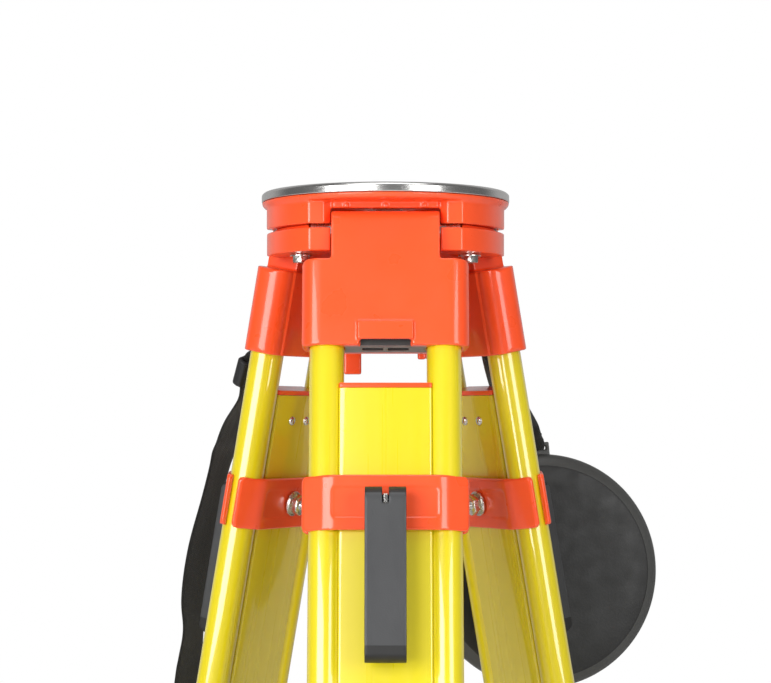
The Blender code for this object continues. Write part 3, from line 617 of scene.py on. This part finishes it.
def hinge_casting():
    face, foot_at = 13.4, 78.6
    base = column(rounded(BODY_HALF, face * MM, CORNER), 22 * MM, foot_at * MM)
    back = block(spot(-41, -12, 22), leg_point(41 * MM, -BODY_DEPTH, foot_at * MM))
    front = eased([(-53.4, 22), (53.4, 22), (53.4, foot_at), (-53.4, foot_at)], 4, 6)
    front = [Vector((x * MM, 30 * MM, -down * MM)) for x, down in front]
    base = combine(base, joined=[back], kept=[prism(front, (0, -60 * MM, 0))])
    section = [(-10.5, 26), (-10.5, 0)] + arc(0, 0, 10.5, 180, 270, 12)
    section += [(face - 7, -10.5)] + arc(face - 7, -3.5, 7, 270, 360, 10) + [(face, 26)]
    points = [spot(-34.6, out, down) for out, down in section]
    tongue = prism(points, (69.2 * MM, 0, 0))
    tab = block(spot(-17.5, 15.8, 75.2), spot(17.5, 11, 63.4))
    bore = rod(spot(-60, 0, 0), spot(60, 0, 0), SHAFT_BORE)
    slot = block(spot(-15.5, 12.8, 82), spot(15.5, 8.6, 62))
    mouth = block(spot(-16.6, 20, 82), spot(16.6, 8.6, 75.4))
    pockets = []
    for s in (-1, 1):
        pockets.append(block(spot(s * 1.6, 2, 82), spot(s * 14.4, -5.5, 56)))
        end = leg_point(s * TUBE_X, 0, 90 * MM)
        pockets.append(rod(leg_point(s * TUBE_X, 0, 66 * MM), end, SOCKET_R, segments=48))
    base = combine(base, joined=[tongue, tab])
    mesh = cast(combine(base, cut=[bore, slot, mouth, *pockets]), 0.75 * MM, 3)
    for material in (ORANGE, GROUND, PAINTED_HOLLOW_SHADE):
        mesh.materials.append(material)
    for polygon in mesh.polygons:
        x, y, z = polygon.center
        level = z < -(foot_at - 1) * MM and polygon.normal.z < -0.75
        # Polygons inside the slot, mouth and pockets take the near-black: painted shade in the hollows.
        in_hollow_shade = abs(x) < 16 * MM and -12.9 * MM < y < 6.2 * MM and z < -55 * MM
        if level and abs(x) < 26 * MM and -8.2 * MM < y < 9.5 * MM:
            polygon.material_index = 1
        elif in_hollow_shade:
            polygon.material_index = 2
    return mesh


def leg_tube(side):
    bore = 8.6 * MM
    profile = [(bore, -TUBE_TOP), (TUBE_R, -TUBE_TOP), (TUBE_R, -TUBE_END), (bore, -TUBE_END)]
    profile = eased(profile, 0.5 * MM, 2)
    mesh = crisp(revolve(profile, 72))
    mesh.transform(Matrix.Translation((side * TUBE_X, 0, 0)))
    return mesh


def bar_outline(half_x, half_y, groove, ease=1.6 * MM):
    """The bar's section, its lips rounded, with grooves that cradle the tubes."""
    lip = math.degrees(math.acos((TUBE_X - half_x) / groove))
    corner = arc(half_x - ease, half_y - ease, ease, 90, 0, 5)
    right = arc(TUBE_X, 0, groove, 180 - lip, 180 + lip, 16)
    upper = corner + right + [(x, -y) for x, y in reversed(corner)]
    return upper + [(-x, -y) for x, y in upper]


def extension_bar():
    base = column(bar_outline(BAR_HALF, BAR_THICK, GROOVE_R), BAR_TOP, BAR_END)
    return crisp(base, 0.25 * MM, 1, 40)


def bar_cap():
    base = column(bar_outline(BAR_HALF, BAR_THICK, GROOVE_R + 0.1 * MM), CAP_TOP, CAP_END)
    return crisp(base, 0.7 * MM, 3, 50)


def bar_rivets():
    """Two dome rivets on the bar's inner face, below its cap."""
    domes = []
    for x in (-9, 9):
        profile = [(0, 0), (3.1, 0), (3.1, 0.3), (2.7, 1.2), (1.6, 1.9), (0, 2.1)]
        dome = crisp(revolve(metres(profile), 32), angle=50)
        turn = Matrix.Rotation(math.radians(-90), 4, "X")
        dome.transform(Matrix.Translation(spot(x, -9.9, 123)) @ turn)
        domes.append(dome)
    return joined_meshes(domes)


def lower_collar():
    base = column(rounded(BODY_HALF, BODY_DEPTH, CORNER), COLLAR_TOP, COLLAR_END)
    bar_way = column(bar_outline(BAR_HALF + 0.5 * MM, BAR_THICK + 0.5 * MM, 11 * MM), 870 * MM, 930 * MM)
    wide = column(rounded(31.2 * MM, 10.5 * MM, 1 * MM, 2), 870 * MM, 915 * MM)
    sockets = []
    for x in (-TUBE_X, TUBE_X):
        start, end = leg_point(x, 0, 870 * MM), leg_point(x, 0, 915 * MM)
        sockets.append(rod(start, end, SOCKET_R, segments=48))
    tab = block(spot(-49, 18, 916), spot(-15, 13, 905))
    proud = 0.9 * MM
    bead = rounded(BODY_HALF + proud, BODY_DEPTH + proud, CORNER + proud)
    bead = column(bead, 881 * MM, 884.5 * MM)
    base = combine(base, joined=[tab, bead])
    return cast(combine(base, cut=[bar_way, wide, *sockets]), 0.95 * MM, 4)


def clamp_plate(face, panel_face, side):
    wing, clear = 3.2 * MM, SOCKET_R
    half, bend, slope = 52.4 * MM, 17.5 * MM, math.radians(33)
    wing_angle = math.degrees(math.asin(wing / clear))
    left = arc(-31.2 * MM, face - bend, bend, 90, 123, 10)
    edge = left[-1][1] - (half + left[-1][0]) * math.tan(slope)
    left = [*left, (-half + 1 * MM, edge + 1.2 * MM), (-half, edge - 0.5 * MM)]
    right = [(-x, y) for x, y in reversed(left)]
    hug_right = arc(TUBE_X, 0, clear, 90, wing_angle, 16)
    hug_left = arc(-TUBE_X, 0, clear, 180 - wing_angle, 90, 16)
    outline = [(half, wing)] + right + left + [(-half, wing)] + hug_left + hug_right
    base = column([(x, side * y) for x, y in outline], CLAMP_TOP, CLAMP_END)
    silhouette = rounded(half + 0.1 * MM, 17.25 * MM, 4 * MM, 6)
    points = [Vector((x, 40 * MM, z - PIN_DOWN)) for x, z in silhouette]
    base = combine(base, kept=[prism(points, (0, -80 * MM, 0))])
    sunk = rounded(33.5 * MM, 9.9 * MM, 3 * MM, 5)
    sunk = [Vector((x, -side * panel_face, z - PIN_DOWN)) for x, z in sunk]
    hole = rod(leg_point(0, 30 * MM, PIN_DOWN), leg_point(0, -30 * MM, PIN_DOWN), 3.8 * MM)
    return cast(combine(base, cut=[prism(sunk, (0, -side * 20 * MM, 0)), hole]), 0.8 * MM, 3)


def clamp_bolt():
    shank = rod(leg_point(0, -26 * MM, PIN_DOWN), leg_point(0, 14.3 * MM, PIN_DOWN), 3.5 * MM)
    tang = block(spot(-1.6, 29.5, 182), spot(1.6, 11, 176))
    pin = rod(leg_point(-10.5 * MM, PIN_OUT, PIN_DOWN), leg_point(10.5 * MM, PIN_OUT, PIN_DOWN), 2.5 * MM)
    return cast(combine(shank, joined=[tang, pin]), 0.4 * MM, 3)


def clamp_nut():
    washer = [(3.9, 0), (8.5, 0), (8.5, 1.6), (3.9, 1.6)]
    washer = crisp(revolve(eased(metres(washer), 0.4 * MM, 3), 56))
    nut = hexagon(7.2 * MM, 1.6 * MM, 7.4 * MM, -0.9 * MM)
    end = [(0, 6), (3.5, 6), (3.5, 9.2), (2.9, 10), (0, 10)]
    end = crisp(revolve(metres(end), 32))
    mesh = joined_meshes([washer, nut, end])
    turn = Matrix.Rotation(math.radians(-90), 4, "X")
    mesh.transform(Matrix.Translation(leg_point(0, -15.8 * MM, PIN_DOWN)) @ turn)
    return mesh


def clamp_lever():
    out = 35.5
    cam = arc(26.6, 180.2, 8.9, 360, 180, 24)
    inner = [(16.4, 186), (20.5, 192), (23, 201)]
    end = arc(27, 275, 4, 180, 90, 8) + arc(out - 8, 269, 10, 90, 0, 10)
    end = [(min(w, out), down) for w, down in end]
    outline = cam + inner + end
    points = [spot(-12.75, w, down) for w, down in outline]
    base = prism(points, (25.5 * MM, 0, 0))
    slot = block(spot(-2, 45, 182.6), spot(2, 10, 160))
    grip = block(spot(-9.6, 26.5, 272), spot(9.6, 10, 203))
    hole = rod(leg_point(-11 * MM, PIN_OUT, PIN_DOWN), leg_point(11 * MM, PIN_OUT, PIN_DOWN), 2.8 * MM)
    mesh = cast(combine(base, cut=[slot, grip, hole]), 0.7 * MM, 3)
    mesh.materials.append(LEVER)
    mesh.materials.append(LEVER_END)
    for polygon in mesh.polygons:
        polygon.material_index = int(not -269 * MM < polygon.center.z < -176 * MM)
    return mesh


def foot():
    wide, narrow = rounded(33 * MM, BODY_DEPTH, 6 * MM), rounded(9 * MM, 9 * MM, 6 * MM)
    levels = ((wide, 925.6), (wide, 972), (narrow, 1002), (narrow, 1010))
    base = loft([[leg_point(x, w, down * MM) for x, w in outline] for outline, down in levels])
    tread = block(spot(-13, 40, 972), spot(13, 10, 964))
    gusset = [spot(-3, 12, 984), spot(-3, 32, 971), spot(-3, 10, 971)]
    grooves = [block(spot(-20, w, 965), spot(20, w + 2.2, 960)) for w in (20, 25.5, 31)]
    base = combine(base, joined=[tread, prism(gusset, (6 * MM, 0, 0))], cut=grooves)
    hole = rod(spot(0, 0, 998), spot(0, 0, 1015), 5.3 * MM)
    socket = column(bar_outline(BAR_HALF + 0.3 * MM, BAR_THICK + 0.3 * MM, 11.2 * MM), 920 * MM, 965 * MM)
    return cast(combine(base, cut=[hole, socket]), 0.95 * MM, 4)


def foot_point():
    profile = [(0, -1002), (5, -1002), (5, -1010.3), (8, -1010.3), (8, -1017)]
    profile += [(2.1, -1034.4), (1.4, -1035), (0, -1035)]
    profile = eased(metres(profile), 0.6 * MM, 3, closed=False)
    return crisp(revolve(profile, 48), angle=40)


# ---------------------------------------------------------------- webbing


def smooth_route(points, each):
    ends = [points[0] * 2 - points[1], *points, points[-1] * 2 - points[-2]]
    route = []
    for before, start, end, after in zip(ends, ends[1:], ends[2:], ends[3:]):
        for i in range(each):
            t = i / each
            b = end - before
            c = 2 * before - 5 * start + 4 * end - after
            d = 3 * start - before - 3 * end + after
            route.append((2 * start + b * t + c * t**2 + d * t**3) / 2)
    return [*route, points[-1]]


def strap_mesh(centres, sideways, half, thickness, cup=0.0):
    """Webbing along centres with thin rounded selvedges. cup bends it across its width."""
    section = []
    for i in range(11):
        v = -1 + i / 5
        section.append((v, (1 - abs(v) ** 6) * 0.5 + 0.12))
    section += [(v, -h) for v, h in reversed(section)]
    bm = bmesh.new()
    uv = bm.loops.layers.uv.new("webbing")
    rings, places = [], []
    along_length = 0.0
    count = len(centres)
    for i, (centre, side) in enumerate(zip(centres, sideways)):
        before, after = centres[max(i - 1, 0)], centres[min(i + 1, count - 1)]
        along = (after - before).normalized()
        if i:
            along_length += (centre - before).length
        across = (side - along * side.dot(along)).normalized()
        normal = along.cross(across)
        bend = cup * math.sin(math.pi * i / (count - 1))
        ring = []
        for v, h in section:
            lift = bend * (1 - v * v)
            ring.append(bm.verts.new(centre + across * half * v + normal * (thickness * h + lift)))
        rings.append(ring)
        places.append([(along_length, half * v + (2 * half if h < 0 else 0)) for v, h in section])
    size = len(section)
    for i in range(count - 1):
        for k in range(size):
            m = (k + 1) % size
            corners = ((i, k), (i, m), (i + 1, m), (i + 1, k))
            face = bm.faces.new([rings[row][column_at] for row, column_at in corners])
            for loop, (row, column_at) in zip(face.loops, corners):
                loop[uv].uv = places[row][column_at]
    for i, ring in ((0, rings[0]), (count - 1, rings[-1])):
        face = bm.faces.new(ring)
        for loop, place in zip(face.loops, places[i]):
            loop[uv].uv = place
    bmesh.ops.recalc_face_normals(bm, faces=bm.faces)
    mesh = bpy.data.meshes.new("webbing")
    bm.to_mesh(mesh)
    bm.free()
    mesh.shade_smooth()
    return mesh, along_length


def stitches(centre, across, along, normal, wide, long):
    """A box of stitches with a cross, each one a short raised bead."""
    lines = []
    corners = [(-wide, -long), (wide, -long), (wide, long), (-wide, long)]
    for one, two in zip(corners, corners[1:] + corners[:1]):
        lines.append((one, two))
    lines += [(corners[0], corners[2]), (corners[1], corners[3])]
    bm = bmesh.new()
    for one, two in lines:
        span = math.hypot(two[0] - one[0], two[1] - one[1])
        count = max(2, int(span / (2.6 * MM)))
        for i in range(count):
            ends = []
            for t in ((i + 0.12) / count, (i + 0.88) / count):
                x, y = one[0] + (two[0] - one[0]) * t, one[1] + (two[1] - one[1]) * t
                ends.append(centre + across * x + along * y)
            middle, reach = (ends[0] + ends[1]) / 2, ends[1] - ends[0]
            axes = (reach.normalized(), normal.cross(reach).normalized(), normal)
            turn = Matrix(axes).transposed().to_4x4()
            size = Matrix.Diagonal((reach.length / 2, 0.35 * MM, 0.3 * MM, 1))
            place = Matrix.Translation(middle) @ turn @ size
            bmesh.ops.create_icosphere(bm, subdivisions=1, radius=1, matrix=place)
    mesh = bpy.data.meshes.new("sewing")
    bm.to_mesh(mesh)
    bm.free()
    mesh.shade_smooth()
    return mesh


# Shoulder strap on the left leg: across, out and down, in mm, as in the CAD.
STRAP_ROUTE = (
    (0, 11.3, 66),
    (0, 11.8, 77),
    (-1, 21, 79),
    (-4, 32, 84),
    (-8, 38.5, 97),
    (-14, 41.5, 115),
    (-22, 52.9, 134.5),
    (-28, 60.4, 150),
    (-32.6, 68.5, 167),
    (-33, 72, 200),
    (-33, 73.7, 233),
    (-33, 73, 268),
    (-33, 69.3, 289),
    (-33, 68, 309),
    (-33, 66, 340),
    (-33, 59.5, 480),
    (-33, 50, 640),
    (-33, 38, 780),
    (-33, 27, 860),
    (-32, 20.5, 897),
    (-32, 19.6, 912),
)


def shoulder_strap():
    points = [spot(*place) for place in STRAP_ROUTE]
    route = smooth_route(points, 8)
    sides = []
    for i in range(len(route)):
        wobble = 0.10 * math.sin(i * 0.21) * math.sin(math.pi * i / len(route))
        sides.append(Vector((1, wobble, 0)))
    mesh, length = strap_mesh(route, sides, 15 * MM, 1.7 * MM, 1.2 * MM)
    leg = hinge("left")
    made = add("shoulder_webbing", mesh, WEBBING, "left_leg", leg, ["shoulder_strap"])
    low_end = spot(-32.3, 22.2, 893)
    along = spot(1, -6.5, 37).normalized()
    across = Vector((1, 0, 0))
    sewn = stitches(low_end, across, along, across.cross(along) * -1, 10 * MM, 6 * MM)
    add("shoulder_stitching", sewn, THREAD, "left_leg", leg)


def strap_buckle():
    centre = spot(-6.5, 35, 92.5)
    along = spot(-11, 10, 26).normalized()
    across = Vector((1, 0, 0))
    across = (across - along * across.dot(along)).normalized()
    normal = along.cross(across)
    turn = Matrix((across, normal, along)).transposed().to_4x4()
    place = Matrix.Translation(centre) @ turn

    def frame_of(half_x, half_y, half_z, radius, shift=0.0):
        outline = rounded(half_x, half_y, radius, 5)
        made = prism([Vector((x, y, shift - half_z)) for x, y in outline], (0, 0, 2 * half_z))
        made.data.transform(place)
        return made

    body = frame_of(19.5 * MM, 4.5 * MM, 10 * MM, 3.5 * MM)
    hollow = frame_of(16.4 * MM, 2.3 * MM, 15 * MM, 1 * MM)
    window = block((-15 * MM, 1 * MM, 1.2 * MM), (15 * MM, 9 * MM, 6.2 * MM))
    window.data.transform(place)
    slot = block((-15 * MM, 1 * MM, -6.2 * MM), (15 * MM, 9 * MM, -1.2 * MM))
    slot.data.transform(place)
    back = block((-15 * MM, -1 * MM, -5.2 * MM), (15 * MM, -9 * MM, 5.2 * MM))
    back.data.transform(place)
    mesh = cast(combine(body, cut=[hollow, window, slot, back]), 0.6 * MM, 3)
    add("strap_slider", mesh, DARK, "left_leg", hinge("left"), ["strap_buckle"])


# ---------------------------------------------------------------- cover
COVER_AT = Matrix.Translation((112 * MM, AXIS_Y + 129 * MM, HEAD_TOP - 259 * MM)) @ Matrix.Rotation(
    math.radians(8), 4, "Z"
)
STAND = Matrix.Rotation(math.radians(90), 4, "X")


def head_cover():
    depth, radius = 14.0, 84.0
    outer = [(0, depth - 0.2), (30, depth - 0.1), (62, depth), (74.6, depth), (76, depth - 0.5)]
    outer += [(80, depth - 2.6), (82.8, depth - 5.4), (83.6, depth - 7.6), (84, 5), (84, 0.6), (83.6, 0)]
    inner = [(82.2, 0), (81.9, 0.5), (81.9, 6.5), (80.2, depth - 6.4), (76.5, depth - 3.4), (72, depth - 2.2)]
    inner += [(40, depth - 2.1), (39, depth - 2.9), (37.6, depth - 2.9)]
    inner += [(36.8, depth - 2.1), (0, depth - 2.2)]
    bowl = revolve(metres(outer + inner), 160)
    lug = block((-LUG_HALF, (radius - 3) * MM, 1 * MM), (LUG_HALF, (radius + 8) * MM, 5 * MM))
    slot = block((-11.5 * MM, (radius + 2.5) * MM, 0), (11.5 * MM, (radius + 5.4) * MM, 9 * MM))
    lug = combine(lug, cut=[slot])
    lug.data.transform(Matrix.Rotation(LUG_TURN, 4, "Z"))
    lug = cast(lug, 0.6 * MM, 4)
    ribs = []
    for i in range(6):
        rib = block((-0.8 * MM, 41 * MM, (depth - 4.2) * MM), (0.8 * MM, 74 * MM, (depth - 1.9) * MM))
        rib.data.transform(Matrix.Rotation(math.tau * i / 6, 4, "Z"))
        ribs.append(crisp(rib, 0.4 * MM, 2))
    mesh = joined_meshes([crisp(bowl, angle=50), lug, *ribs])
    mesh.materials.append(COVER)
    # The outer band beyond 76.5 mm takes the lighter grey: painted highlight.
    mesh.materials.append(COVER_RIM_PAINTED_HIGHLIGHT)
    for polygon in mesh.polygons:
        polygon.material_index = int(polygon.center.xy.length > 76.5 * MM)
    mesh.transform(STAND)
    return mesh


def lug_point(across, depth, height):
    """A point at the cover's lug, in mm: height is beyond the cover's edge."""
    reach = COVER_R + height * MM
    turned = (-reach * math.sin(LUG_TURN) + across * MM, depth * MM, reach * math.cos(LUG_TURN))
    return COVER_AT @ Vector(turned)


def cover_strap():
    """From the slot of the right hinge casting down to the cover, and through its lug."""
    leg = hinge("right")
    start = leg @ spot(0, 11.3, 66)
    out = leg @ spot(0, 11.8, 77)
    bend = leg @ spot(0, 16, 86)
    above = lug_point(-3, -3, 10.5) + Vector((-2 * MM, -4.5 * MM, 10 * MM))
    half_way = bend.lerp(above, 0.5) + Vector((-1 * MM, 0, -1 * MM))
    points = [start, out, bend, half_way, above]
    for height, depth in ((8.6, -6.7), (4.4, -5.6), (3.6, -3), (4.4, -0.3), (9, 0.6), (14.5, -1.8)):
        points.append(lug_point(-1, depth, height))
    route = smooth_route(points, 8)
    top = (leg.to_3x3() @ Vector((1, 0, 0))).normalized()
    down = (COVER_AT.to_3x3() @ Vector((1, 0, 0))).normalized()
    if top.dot(down) < 0:
        top = -top
    count = len(route) - 1
    sides = [top.lerp(down, min(1, max(0, (i / count - 0.18) / 0.2))) for i in range(count + 1)]
    mesh, length = strap_mesh(route, sides, 11 * MM, 1.5 * MM, 0.2 * MM)
    made = add("cover_webbing", mesh, WEBBING, "right_leg", None, ["cover_strap"])


# ---------------------------------------------------------------- assembly


def build_head():
    add("head_rim", head_rim(), ALUMINIUM, "head", HEAD)
    add("head_body", head_body(), ORANGE, "head", HEAD, ["head_casting"])
    cap, bolt = hinge_cap(), cap_bolt()
    for name, angle in LUGS.items():
        add(f"cap_{name}", cap, ORANGE, "head", around(angle), [f"hinge_cap_{name}"])
        add(f"bolt_{name}", bolt, STEEL, "head", around(angle), [f"cap_bolt_{name}"])
    add("arm", screw_arm(), ORANGE, "swing_arm", HEAD, ["screw_arm"])
    add("guard_left", arm_guard_left(), ORANGE, "swing_arm", HEAD, ["arm_guard_left"])
    add("guard_right", arm_guard_right(), ORANGE, "swing_arm", HEAD, ["arm_guard_right"])
    add("screw", fastening_screw(), BRASS, "screw", HEAD, ["fastening_screw"])
    add("knob", screw_knob(), DARK, "screw", HEAD, ["screw_knob"])


def build_legs():
    near_plate = clamp_plate(15.6 * MM, 15.0 * MM, 1)
    far_plate = clamp_plate(15.5 * MM, 15.1 * MM, -1)
    pieces = (
        ("casting", hinge_casting(), ORANGE, "leg", ["hinge_casting"], "orange_paint"),
        ("tube_near", leg_tube(-1), YELLOW, "leg", ["tube_a"], "yellow_fibreglass"),
        ("tube_far", leg_tube(1), YELLOW, "leg", ["tube_b"], "yellow_fibreglass"),
        ("collar", lower_collar(), ORANGE, "leg", ["lower_collar"], "orange_paint"),
        ("bar", extension_bar(), YELLOW, "extension", ["extension_bar"], "yellow_fibreglass"),
        ("bar_end", bar_cap(), ORANGE, "extension", ["bar_cap"], "orange_paint"),
        ("rivets", bar_rivets(), STEEL, "extension", [], "bright_steel"),
        ("clamp_front", near_plate, ORANGE, "extension", ["clamp_outer_plate"], "orange_paint"),
        ("clamp_back", far_plate, ORANGE, "extension", ["clamp_inner_plate"], "orange_paint"),
        ("t_bolt", clamp_bolt(), STEEL, "extension", ["clamp_bolt"], "bright_steel"),
        ("nut", clamp_nut(), STEEL, "extension", ["clamp_nut"], "bright_steel"),
        ("lever", clamp_lever(), LEVER, "lever", ["clamp_lever"], "black_plastic"),
        ("shoe", foot(), ORANGE, "extension", ["foot"], "orange_paint"),
        ("spike", foot_point(), STEEL, "extension", ["foot_point"], "bright_steel"),
    )
    for side in SIDES:
        for name, mesh, material, body, nodes, slot in pieces:
            nodes = [f"{side}_{node}" for node in nodes]
            add(f"{side}_{name}", mesh, material, f"{side}_{body}", hinge(side), nodes)


def dress_cad():
    """CAD pieces whose shape is right: only a material."""
    for name in ("front_hinge_shaft", "right_hinge_shaft", "left_hinge_shaft", "arm_pivot", "screw_bushing"):
        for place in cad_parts[name].material_slots:
            place.material = STEEL


build_head()
build_legs()
dress_cad()
shoulder_strap()
strap_buckle()
add("cover_bowl", head_cover(), COVER, "right_leg", COVER_AT, ["head_cover"])
cover_strap()

# ---------------------------------------------------------------- floor, light, camera


def studio_floor():
    made = Paint("studio_floor", (0.86, 0.86, 0.86), 0.6)
    made.tint(made.remap(made.noise(2.0, 2), 0.3, 0.7, 0, 1), (0.84, 0.84, 0.845))
    bm = bmesh.new()
    bmesh.ops.create_circle(bm, cap_ends=True, segments=128, radius=4.5)
    floor = shape(bm)
    floor.name = "studio_floor"
    floor.location.z = -0.2 * MM
    floor.data.materials.append(made.material)


def softbox(name, azimuth, elevation, distance, width, height, power):
    """An area light aimed at the tripod's upper half; azimuth 0 is the camera's side."""
    target = Vector((0, AXIS_Y, HEAD_TOP - AIM_DROP))
    a, e = math.radians(azimuth), math.radians(elevation)
    direction = Vector((math.sin(a) * math.cos(e), -math.cos(a) * math.cos(e), math.sin(e)))
    data = bpy.data.lights.new(name, "AREA")
    data.shape = "RECTANGLE"
    data.size, data.size_y = width, height
    data.energy = power
    made = bpy.data.objects.new(name, data)
    made.location = target + direction * distance
    made.rotation_euler = direction.to_track_quat("Z", "Y").to_euler()
    bpy.context.scene.collection.objects.link(made)


def studio_world():
    """White behind the object and in the camera's view; dim elsewhere, so that its gloss stays clean."""
    world = bpy.data.worlds.new("studio")
    bpy.context.scene.world = world
    world.use_nodes = True
    tree = world.node_tree
    back = tree.nodes["Background"]
    back.inputs["Color"].default_value = (1, 1, 1, 1)
    back.inputs["Strength"].default_value = 1.0
    apart = tree.nodes.new("ShaderNodeSeparateXYZ")
    tree.links.new(tree.nodes.new("ShaderNodeTexCoord").outputs["Generated"], apart.inputs["Vector"])
    behind = tree.nodes.new("ShaderNodeMapRange")
    for socket, value in (("From Min", 0.25), ("From Max", 0.6), ("To Min", AMBIENT), ("To Max", BACKDROP)):
        behind.inputs[socket].default_value = value
    tree.links.new(apart.outputs["Y"], behind.inputs["Value"])
    surround = tree.nodes.new("ShaderNodeBackground")
    tree.links.new(behind.outputs["Result"], surround.inputs["Strength"])
    mix = tree.nodes.new("ShaderNodeMixShader")
    path = tree.nodes.new("ShaderNodeLightPath")
    tree.links.new(path.outputs["Is Camera Ray"], mix.inputs["Fac"])
    tree.links.new(surround.outputs["Background"], mix.inputs[1])
    tree.links.new(back.outputs["Background"], mix.inputs[2])
    tree.links.new(mix.outputs["Shader"], tree.nodes["World Output"].inputs["Surface"])


AIM_DROP, AMBIENT, BACKDROP = 0.2, 0.2, 0.6
KEY_RISE, KEY_AWAY, KEY_HEIGHT = 9.5, 2.2, 1.3
LENS, SENSOR, LOOK_UP = 104.2, 36, math.radians(2.07)
CAMERA_AWAY, CAMERA_DROP = 1.486, 0.152

studio_floor()
studio_world()
softbox("key_left", -32, KEY_RISE, KEY_AWAY, 1.65, KEY_HEIGHT, 47)
softbox("key_right", 36, KEY_RISE, KEY_AWAY, 0.9, KEY_HEIGHT, 20)
softbox("overhead", 5, 72, 2.4, 1.8, 1.8, 23)

view = bpy.data.cameras.new("camera")
view.lens = LENS
view.sensor_width = SENSOR
view.clip_end = 50
camera = bpy.data.objects.new("camera", view)
camera.location = (0, AXIS_Y - CAMERA_AWAY, HEAD_TOP - CAMERA_DROP)
camera.rotation_euler = (math.radians(90) + LOOK_UP, 0, 0)
bpy.context.scene.collection.objects.link(camera)
bpy.context.scene.camera = camera
bpy.context.scene.view_settings.view_transform = "Standard"
